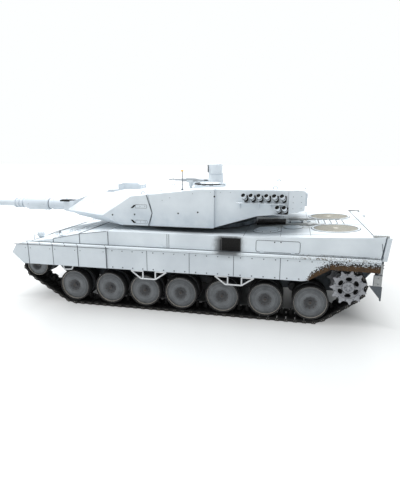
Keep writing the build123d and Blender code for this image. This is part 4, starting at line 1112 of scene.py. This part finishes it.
def wedge_clamps(y):
    """Lines and dark shapes of the two clamps on the wedge armour's side."""
    lines, dark = [], []
    for low, high, (x1, z1), (x2, z2) in ((133, 137.4, (225.6, 132.8), (221.4, 136.8)),
                                          (113.2, 117.6, (226.2, 117.8), (222.2, 113.6))):
        loop = [(x, y, z) for x, z in rounded(205.5, 221, low, high, 0.8, 3)]
        lines += wire(loop, 0.20, True, 6)
        slot = [(x1 - 1.5, z1), (x1 + 1.5, z1), (x2 + 1.5, z2), (x2 - 1.5, z2)]
        dark.append(prism(slot, y - 0.4, y + 0.3))
        dark += bolts([(x, TURRET_Y, (low + high) / 2) for x in (208, 214.5)], LEFT, 0.4, 0.25, 8)
    return lines, dark


def wedge_bolts():
    """Two rows of bolts along the sloping top of the wedge armour."""
    inner, outer, top = WEDGE_TOP
    nose = outer - inner
    normal = nose.cross(top - inner).normalized()
    normal *= math.copysign(1, normal.z)
    up = normal.cross(nose).normalized()
    up *= math.copysign(1, up.z)
    spots = [inner + nose * (0.10 + 0.095 * number) + up * 2.6 for number in range(9)]
    spots += [inner + nose * (0.22 + 0.17 * number) + up * 19 for number in range(4)]
    return bolts(spots, normal, 0.45, 0.25)


def turret_roof():
    """Rows of panel lines, and bolts, on the left half of the turret roof and of its wedge."""
    def on_roof(x, y):
        return (x, y, height_on(ROOF_LINE, x) + 0.02)

    rows = [(0.22, on_roof(60, 0), on_roof(60, 88)),
            (0.22, on_roof(135, 28.5), on_roof(231, 28.5), on_roof(285, 28.5)),
            (0.3, on_roof(206, 30), on_roof(206, 93.5)),
            (0.2, on_roof(20, 88), on_roof(60, 88))]
    spots = ((70, 80), (70, 20), (100, 80), (120, 84), (225, 70), (225, 36), (270, 36))
    heads = bolts([on_roof(x, y) for x, y in spots], (0.05, 0, 1), 0.6, 0.35)
    return rows, heads + wedge_bolts()


def make_turret_lines():
    """Panel lines, wedge clamps, bolts and black strips of painted shadow under the turret's edges."""
    y = TURRET_Y + 0.02
    clamp_lines, dark = wedge_clamps(y)
    roof_rows, heads = turret_roof()
    rows = [(0.85, (205.6, y - 0.5, 149.6), (198.6, y - 0.5, 127), (204, y - 0.5, 110.8))]
    spots = ((252.5, 123.3), (222.2, 124.7), (164.5, 127.9), (139.5, 130), (119, 149.7))
    dark += bolts([(x, TURRET_Y - 0.1, z) for x, z in spots], LEFT, 1.05, 0.4, 10)
    # Black strips of painted shadow along the turret's lower edge and the bustle's underside.
    dark += seams([(0.45, (119.5, y - 0.4, 110.7), (239, y - 0.4, 110.7)),
                   (0.38, (118.5, 91.8, 111.3), (68, 91.8, 126.8), (31.5, 91.8, 130.8))])
    faint = seams([(0.20, (119.3, y, 157), (119.3, y, 111.6)),
                   (0.22, (31.6, BUSTLE_Y + 0.02, 157.4), (31.6, BUSTLE_Y + 0.02, 131.4))])
    heads += bolts([(x, TURRET_Y, z) for x, z in ((146, 152.6), (185, 143.6), (175, 147))],
                   LEFT, 0.45, 0.25)
    for z in (137, 144, 151):
        heads += bolts([(34, BUSTLE_Y, z)], LEFT, 0.45, 0.3)
        heads += bolts([(26, 89, z), (16.5, 82.9, z)], (-0.5, 0.85, 0), 0.45, 0.3)
    heads += bolts([(100, BUSTLE_Y, 154.6), (112, BUSTLE_Y, 154.6), (124, 95, 154.6)], LEFT, 0.4, 0.25)
    groups = on_both({"line": clamp_lines + seams(rows + roof_rows), "faint": faint, "black": dark,
                      "bolt": heads})
    piece("turret_panel_lines", "turret", groups)


def make_hatch_rings():
    """Vision blocks round the two hatch collars."""
    white, window, dark = [], [], []
    block = prism([(16.2, -0.2), (20.8, -0.2), (20.4, 1.6), (17.4, 2.2), (16.2, 2)], -2.4, 2.4)
    for x, y in HATCHES.values():
        collar = Matrix.Translation((x, y, COLLAR_Z))
        places = [collar @ Matrix.Rotation(math.radians(-105 + 30 * number), 4, "Z") for number in range(8)]
        white += placed([block], *places)
        window += placed([box(20.2, 21, -2.2, 2.2, 0.1, 1.8)], *places)
        dark += placed([disc([(15.6, 0), (15.9, 0.3), (16.2, 0)])], collar)
    piece("vision_blocks", "turret", {"arm": white, "window": window, "black": dark}, 0.12)


def gunner_sight():
    """White, glass and seam shapes of the gunner's sight."""
    housing = [(299, 144.2), (299, 150.6), (296.5, 153), (292, 154.4), (268, 154.4), (262, 151.4),
               (262, 144.4)]
    white = [prism(housing, -60, -34)]
    white += [box(290, 300.2, y, y + 2, 144.6, 152.4) for y in (-60.6, -35.4)]
    lines = seams([(0.2, (x, -59, 154.4), (x, -35, 154.4)) for x in (268, 278, 288)])
    return white, [box(298.6, 299.3, -57, -37, 146.2, 150.2)], lines


def rear_boxes():
    """White shapes and lines of the two stowage boxes on the turret's back."""
    white, lines = [], []
    for y in (-38, 38):
        white.append(box(9.2, 12.4, y - 29.5, y + 29.5, 137.5, 153.5))
        for strap in (y - 20, y, y + 20):
            white.append(box(8.7, 9.4, strap - 1.2, strap + 1.2, 147, 152.5))
            lines.append(box(8.6, 8.9, strap - 0.8, strap + 0.8, 147.4, 148.4))
        lines += seams([(0.2, (9.15, y - 29, 150.6), (9.15, y + 29, 150.6))])
    return white, lines


def make_turret_fittings():
    """The gunner's sight, marker rod, lifting eyes and rear boxes."""
    white, window, lines = gunner_sight()
    box_white, box_lines = rear_boxes()
    white += box_white
    for x, y in ((219, 70), (219, -70), (48, 70), (48, -70)):
        z = height_on(ROOF_LINE, x)
        white += wire([(x - 2.4, y, z - 0.3), (x - 2.2, y, z + 2.4), (x, y, z + 3.4), (x + 2.2, y, z + 2.4),
                       (x + 2.4, y, z - 0.3)], 0.7)
    x, y = MARKER_ROD
    rods = [rod((x, y, 152), (x, y, 178), 0.55),
            turned([(1.6, 0), (1.4, 1.4), (0.8, 1.8)], (x, y, 154.4), UP, 16)]
    tip = [(0.8, 0), (1.5, 0.3), (1.6, 1.4), (1.1, 1.9), (0, 2)]
    groups = {"white": white, "window": window, "yellow": [turned(tip, (x, y, 178), UP, 16)],
              "bolt": rods, "faint": lines + box_lines}
    piece("turret_details", "turret", groups, 0.15, ["turret_fittings"])


def make_smoke_launchers():
    """Eight short launcher tubes a side, with dark mouths, clamps, their shelf, and dark feet that are
    brackets with painted shade.
    """
    axis = Vector((0.28, 0.74, 0.61)).normalized()
    tube = [(2, 3.4), (2.5, 3.8), (2.7, 4.4), (2.7, 9.4), (3, 9.7), (3, 10.8), (2.9, 11),
            (2.65, 11), (2.6, 10.6)]
    mouth = [(2.62, 10.8), (2.6, 9.4), (1.6, 9), (0, 9.2)]
    socket = [(0, -0.9), (1.5, -0.8), (2.5, 0), (2.6, 0.6), (2.4, 4)]
    clamp = [(2.75, 5.6), (2.95, 5.7), (2.95, 6.7), (2.75, 6.8)]
    white = [box(35.2, 91.8, BUSTLE_Y, 99.8, 142.5, 143.5), box(30.2, 47.8, BUSTLE_Y, 95.8, 129.6, 130.4)]
    white += [prism([(BUSTLE_Y, 135.5), (98, 142.5), (BUSTLE_Y, 142.5)], x - 0.5, x + 0.5, "X")
              for x in (88, 66, 52)]
    dark, clamps = [], []
    tops = [(83.6 - 8.9 * number, 103, 153) for number in range(6)]
    tops += [(44, 102, 139.7), (36.4, 102, 139.7)]
    for top in tops:
        x = top[0]
        foot = Vector(top) - axis * 11
        white.append(turned(tube, foot, axis, 24))
        # The black socket and block at each tube's foot: its bracket, with painted shade between the tubes.
        dark += [turned(mouth, foot, axis, 24), turned(socket, foot, axis, 24),
                 box(x - 5.4, x - 2.6, BUSTLE_Y, 97.8, foot.z - 0.6, foot.z + 5.6)]
        clamps.append(turned(clamp, foot, axis, 24))
    groups = on_both({"white": white, "black": dark, "line": clamps})
    piece("launcher_tubes", "turret", groups, 0, ["smoke_launchers"])


# ---------------------------------------------------------------- guns and sight
ROOF_GUN_X, ROOF_GUN_Y = 161, 44


def on_barrel(*profiles, steps=40):
    """(radius, X) profiles turned about the barrel's axis."""
    return [turned(profile, (0, 0, GUN_Z), FORWARD, steps) for profile in profiles]


def make_gun():
    """The barrel with its extractor, rings, muzzle and muzzle sensor."""
    barrel = [(5, 336), (5, 395.5), (8.2, 396), (8.2, 402), (8.6, 402.3), (9.9, 403.6), (10.2, 405),
              (10.2, 439), (9.8, 441), (8.2, 445), (6.8, 448), (6.6, 450), (6.6, 463), (5.9, 466), (5.6, 470),
              (5.6, 587), (6.2, 588), (6.2, MUZZLE_X - 0.8), (5.6, MUZZLE_X), (3.9, MUZZLE_X),
              (3.75, MUZZLE_X - 0.6)]
    bore = [(3.75, MUZZLE_X - 0.4), (3.75, MUZZLE_X - 18), (0, MUZZLE_X - 18)]
    bands = [[(6.5, x), (7.8, x + 0.2), (8, x + 0.6), (8, x + 2), (7.8, x + 2.4), (6.5, x + 2.6)]
             for x in (449, 455.5, 462)]
    grooves = [[(5.5, x), (5.78, x + 0.2), (5.78, x + 0.8), (5.5, x + 1)] for x in (500, 530, 560)]
    lines = on_barrel([(8.1, 401.2), (8.5, 401.4), (8.5, 402.4), (8.1, 402.6)], *grooves)
    for y, z in circle(6, 1):
        normal = Vector((0, y, z))
        lines += bolts([Vector((x, 0, GUN_Z)) + normal * 10.1 for x in (408, 436)], normal, 0.5, 0.3)
    sensor = box(MUZZLE_X - 12, MUZZLE_X - 6, -1.5, 1.5, GUN_Z + 5.8, GUN_Z + 8.2)
    groups = {"gun": on_barrel(barrel, *bands) + [sensor], "line": lines, "black": on_barrel(bore, steps=32)}
    piece("barrel_detail", "gun", groups, 0, ["gun_barrel"])


def make_mantlet_details():
    """Bolts, a cover strip and the dark vent line on the gun's housing."""
    rows = [(0.22, (x, -28, z), (x, 28, z)) for x, z in ((320, 140.6), (345.8, 131.6))]
    heads = []
    for y in (-22, -11, 0, 11, 22):
        heads += bolts([(316.5, y, 140.5)], UP, 0.6, 0.4)
        heads += bolts([(324, y, 139.1)], (0.33, 0, 0.94), 0.6, 0.4)
    oval = [(370.2, y * 13, GUN_Z - 0.6 + z * 5.4) for y, z in circle(10, 1)]
    heads += bolts(oval, FORWARD, 0.5, 0.4)
    collars = on_barrel([(9, 371), (10.4, 371.4), (10.4, 373.6), (9, 374)],
                        [(9, 392.6), (9.5, 393), (9.5, 395.4), (9, 395.8)])
    groups = {"line": seams(rows), "black": [box(344, 371, 14, 23.5, 129.4, 131.8)], "bolt": heads,
              "gun": collars}
    piece("mantlet_details", "gun", groups)


def make_sight():
    """The rotating sight head with its framed window."""
    head = [(6, 153), (6, 158.3), (11, 158.4), (11, 161.5), (10.6, 162.2), (10.4, 170.6),
            (9.6, 171.6), (9.5, 172.4), (9.5, 184.4), (9, 185.5), (7.8, 186), (0, 186)]
    beads = [[(9.9, z), (10.6, z + 0.2), (10.6, z + 0.9), (9.9, z + 1.1)] for z in (162, 171.8)]
    white = [disc(head), *map(disc, beads), box(4, 10.4, -6.2, 6.2, 173.6, 184.6)]
    frame_bars = [box(10, 10.9, y, y + 1, 174, 184.2) for y in (-6.2, 5.2)]
    frame_bars += [box(low, high, y, y + 0.4, 174, 184.2)
                   for low, high in ((4.6, 5.4), (9.5, 10.9)) for y in (-6.5, 6.1)]
    heads = bolts([(a, b, 185.9) for a, b in circle(8, 7)], UP, 0.5, 0.1)
    groups = {"white": white, "black": frame_bars, "window": [box(10.2, 10.6, -5.2, 5.2, 174.8, 183.4)],
              "bolt": heads}
    groups = everywhere(groups, Matrix.Translation((SIGHT_X, SIGHT_Y, 0)))
    piece("sight_head", "panoramic_sight", groups, 0.12, ["panoramic_sight"])


def make_roof_gun():
    """The roof machine gun on its post, drawn round the post, with its ammunition box."""
    mount = [disc([(1.5, 151), (1.5, 157.6), (2.6, 157.8), (2.4, 163), (1.8, 164.2)], 20),
             box(-4, 5, -2.3, -1.7, 162.6, 165.4), box(-4, 5, 1.7, 2.3, 162.6, 165.4)]
    gun = [box(-10, 12, -1.6, 1.6, 163.8, 167.6), box(-6, 6, -1.3, 1.3, 167.4, 168.2),
           box(24, 25, -0.3, 0.3, 166.4, 168.4), box(-18, -10, -0.8, 0.8, 164.6, 166.8)]
    for start, end, radius in ((12, 30, 0.75), (27, 30.2, 1.1), (12, 22, 1.25)):
        gun.append(rod((start, 0, 166), (end, 0, 166), radius))
    gun += [rod((-10, y, 165.6), (-15, y, 164.4), 0.5) for y in (-2, 2)]
    ammunition = [box(-4, 4, -6.4, -2.4, 162.9, 166.9), box(-3.2, 3.2, -5.6, -3, 166.8, 167.3)]
    rounds = [rod((-1.6, y, 167.3), (2.4, y, 167.3), 0.3) for y in [-2.8 + 0.7 * k for k in range(5)]]
    groups = everywhere({"metal": gun, "white": mount, "arm": ammunition, "pin": rounds},
                        Matrix.Translation((ROOF_GUN_X, ROOF_GUN_Y, 0)))
    piece("roof_gun", "machine_gun", groups, 0.12, ["machine_gun"])


# ---------------------------------------------------------------- hatches and inside
def make_hatches():
    """Round hatch lids, each with its hinge, handle and rubber edge."""
    lid = [(14.2, 0), (14.9, 0.4), (14.8, 1.4), (14, 2), (9, 2.2), (8.4, 1.8), (5, 1.9), (4.4, 2.5),
           (0, 2.8)]
    white = [disc(lid), disc([(14.2, 0), (0, 0)]), box(-19.8, -12.5, -4.6, 4.6, 0, 1.8),
             rod((-19.4, -5, 1), (-19.4, 5, 1), 1)]
    white += handle((7, -3, 1.8), (7, 3, 1.8), 1.1, 0.4)
    heads = bolts([(-15.5, -3, 1.7), (-15.5, 3, 1.7)], UP, 0.5, 0.3)
    rubber = disc([(14.8, 0.2), (15, 0.5), (15, 0.9), (14.8, 1.2)])
    groups = {"white": white, "bolt": heads, "black": [rubber]}
    for name, (x, y) in HATCHES.items():
        here = everywhere(groups, Matrix.Translation((x, y, COLLAR_Z + 0.3)))
        piece(f"{name}_lid", name, here, 0.1, [name])


def make_driver_details():
    """A grab handle, a rim line and bolts on the driver's lid."""
    white = handle((4, -3, -0.2), (4, 3, -0.2), 1.4, 0.4)
    white.append(turned([(6, -0.1), (5.6, 0.5), (0, 0.7)], (-3, 0, 0), UP))
    rim = wire([(a, b, 0.02) for a, b in circle(36, 11.6)], 0.2, True, 6)
    heads = bolts([(-2.8, -16.5, 0), (2.8, -16.5, 0)], UP, 0.7, 0.4)
    groups = everywhere({"white": white, "faint": rim, "bolt": heads}, lying_on(DECK_LINE, 278, -46, 2.7))
    piece("driver_lid_details", "driver_hatch", groups)


def make_inside():
    """Plain bands round the battery, its two wires, and screws on the gearboxes."""
    bands = [box(x, x + 4, -23.1, 23.1, 32.4, 57.6) for x in (78, 138)]
    red = wire([(160, 6, 50), (168, 8, 50), (182, 14, 48), (194, 16, 46.2)], 1, steps=12)
    black = wire([(160, 0, 50), (168, 0, 50), (182, 4, 48), (194, 6, 46.2)], 1, steps=12)
    screws = bolts([(x, y, 68) for x in (-45, -17) for y in (10, 48)], UP, 1.4, 0.9)
    groups = {"white": bands, "red": red, "black": black, "bolt": both(screws)}
    piece("wiring", "hull", groups, 0.1)


# ---------------------------------------------------------------- CAD nodes that stay
CAD_FINISH = {
    "tub": ("lower_hull", "turret_base"), "hull": ("upper_hull",), "skirt": ("skirt_left", "skirt_right"),
    "step": ("side_steps",), "bearing": ("turret_bearing",), "white": ("driver_hatch",),
    "gearbox": ("drive_gearboxes", "turret_drive"), "battery": ("battery_pack",), "board": ("electronics",),
    "turret": ("turret_shell",), "gun": ("gun_mantlet",),
    "arm": ("return_rollers", *(f"swing_arm_{name}_{number}" for name, _ in SIDES for number in WHEELS))}


def dress_cad():
    """Give the CAD nodes that stay their materials."""
    for key, nodes in CAD_FINISH.items():
        for node in nodes:
            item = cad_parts[node]
            if not item.material_slots:
                item.data.materials.append(MATERIALS[key])
            for slot in item.material_slots:
                slot.material = MATERIALS[key]


# ---------------------------------------------------------------- stage
CAMERA_SPOT = (29.42 + ZERO_X, 570.53, 200.36)
CAMERA_YAW, CAMERA_PITCH = math.radians(12.71), math.radians(13.58)
FLOOR_REACH = 6        # metres from the middle to the floor's edge


def make_camera():
    """The camera to the left of the tank, a little behind its middle and looking slightly forward."""
    data = bpy.data.cameras.new("camera")
    data.lens = 28.8
    data.sensor_width = 36
    camera = bpy.data.objects.new("camera", data)
    bpy.context.scene.collection.objects.link(camera)
    level = math.cos(CAMERA_PITCH)
    look = Vector((math.sin(CAMERA_YAW) * level, -math.cos(CAMERA_YAW) * level, -math.sin(CAMERA_PITCH)))
    camera.location = Vector(CAMERA_SPOT) * MM
    camera.rotation_euler = look.to_track_quat("-Z", "Y").to_euler()
    bpy.context.scene.camera = camera


def make_softbox():
    """One square soft light above the tank, aimed at its middle."""
    place, target = Vector((0, -0.1, 1.2)), Vector((0, 0, 0.05))
    data = bpy.data.lights.new("softbox_top", "AREA")
    data.size = 1.3
    data.energy = 22
    light = bpy.data.objects.new("softbox_top", data)
    light.location = place
    light.rotation_euler = (target - place).to_track_quat("-Z", "Y").to_euler()
    bpy.context.scene.collection.objects.link(light)


def light_room():
    """White all round, dimmer behind the tank's left so that its side keeps some shade."""
    world = bpy.data.worlds.new("room")
    world.use_nodes = True
    tree = world.node_tree
    aim = tree.nodes.new("ShaderNodeVectorMath")
    aim.operation = "DOT_PRODUCT"
    tree.links.new(tree.nodes.new("ShaderNodeTexCoord").outputs["Generated"], aim.inputs[0])
    aim.inputs[1].default_value = (-0.55, 0.83, 0)
    ramp = tree.nodes.new("ShaderNodeMapRange")
    for name, number in (("From Min", 0), ("From Max", 0.7), ("To Min", 1), ("To Max", 0.5)):
        ramp.inputs[name].default_value = number
    tree.links.new(aim.outputs["Value"], ramp.inputs["Value"])
    tree.links.new(ramp.outputs["Result"], tree.nodes["Background"].inputs["Strength"])
    tree.nodes["Background"].inputs["Color"].default_value = (0.985, 1, 1, 1)
    bpy.context.scene.world = world


def floor_white():
    """The floor: darker grey beneath the tank as painted shade, white beyond it, and glowing beside it as
    painted light.
    """
    graph = Graph("floor_white", 0.35)
    away = graph.math("SQRT", graph.plus(graph.times(graph.x, graph.x), graph.times(graph.y, graph.y)))
    far = graph.span(away, 350, 900)
    # Painted shade: darker grey near the tank.
    near = graph.mix(graph.noise(0.004, 2), (0.37, 0.385, 0.39), (0.35, 0.365, 0.37))
    # Painted light: the floor glows beside the tank, softening its shadows.
    graph.shader.inputs["Emission Color"].default_value = (1, 1, 1, 1)
    from_middle = graph.math("ABSOLUTE", graph.minus(graph.x, 155))
    beside = graph.math("MAXIMUM", graph.span(graph.y, 55, 100), graph.span(from_middle, 190, 260))
    graph.put(graph.shader.inputs["Emission Strength"], graph.times(beside, 0.37))
    return graph.finish(graph.mix(far, near, (0.95, 0.96, 0.96)))


def make_stage():
    """A white floor with painted shade and painted light round the tank, a white room and a soft light."""
    mesh = bpy.data.meshes.new("floor")
    corners = [(x, y, 0) for x, y in ((-1, -1), (1, -1), (1, 1), (-1, 1))]
    mesh.from_pydata([Vector(corner) * FLOOR_REACH for corner in corners], [], [(0, 1, 2, 3)])
    mesh.materials.append(floor_white())
    floor = bpy.data.objects.new("floor", mesh)
    bpy.context.scene.collection.objects.link(floor)
    light_room()
    make_softbox()
    bpy.context.scene.view_settings.view_transform = "Standard"


def main():
    """Build the whole scene."""
    make_camera()
    dress_cad()
    make_running_gear()
    make_skirt_bolts()
    make_side_seams()
    make_exhaust_grilles()
    make_fans()
    make_deck()
    make_front()
    make_rear()
    make_turret_lines()
    make_hatch_rings()
    make_turret_fittings()
    make_smoke_launchers()
    make_gun()
    make_mantlet_details()
    make_sight()
    make_roof_gun()
    make_hatches()
    make_driver_details()
    make_inside()
    make_stage()


main()
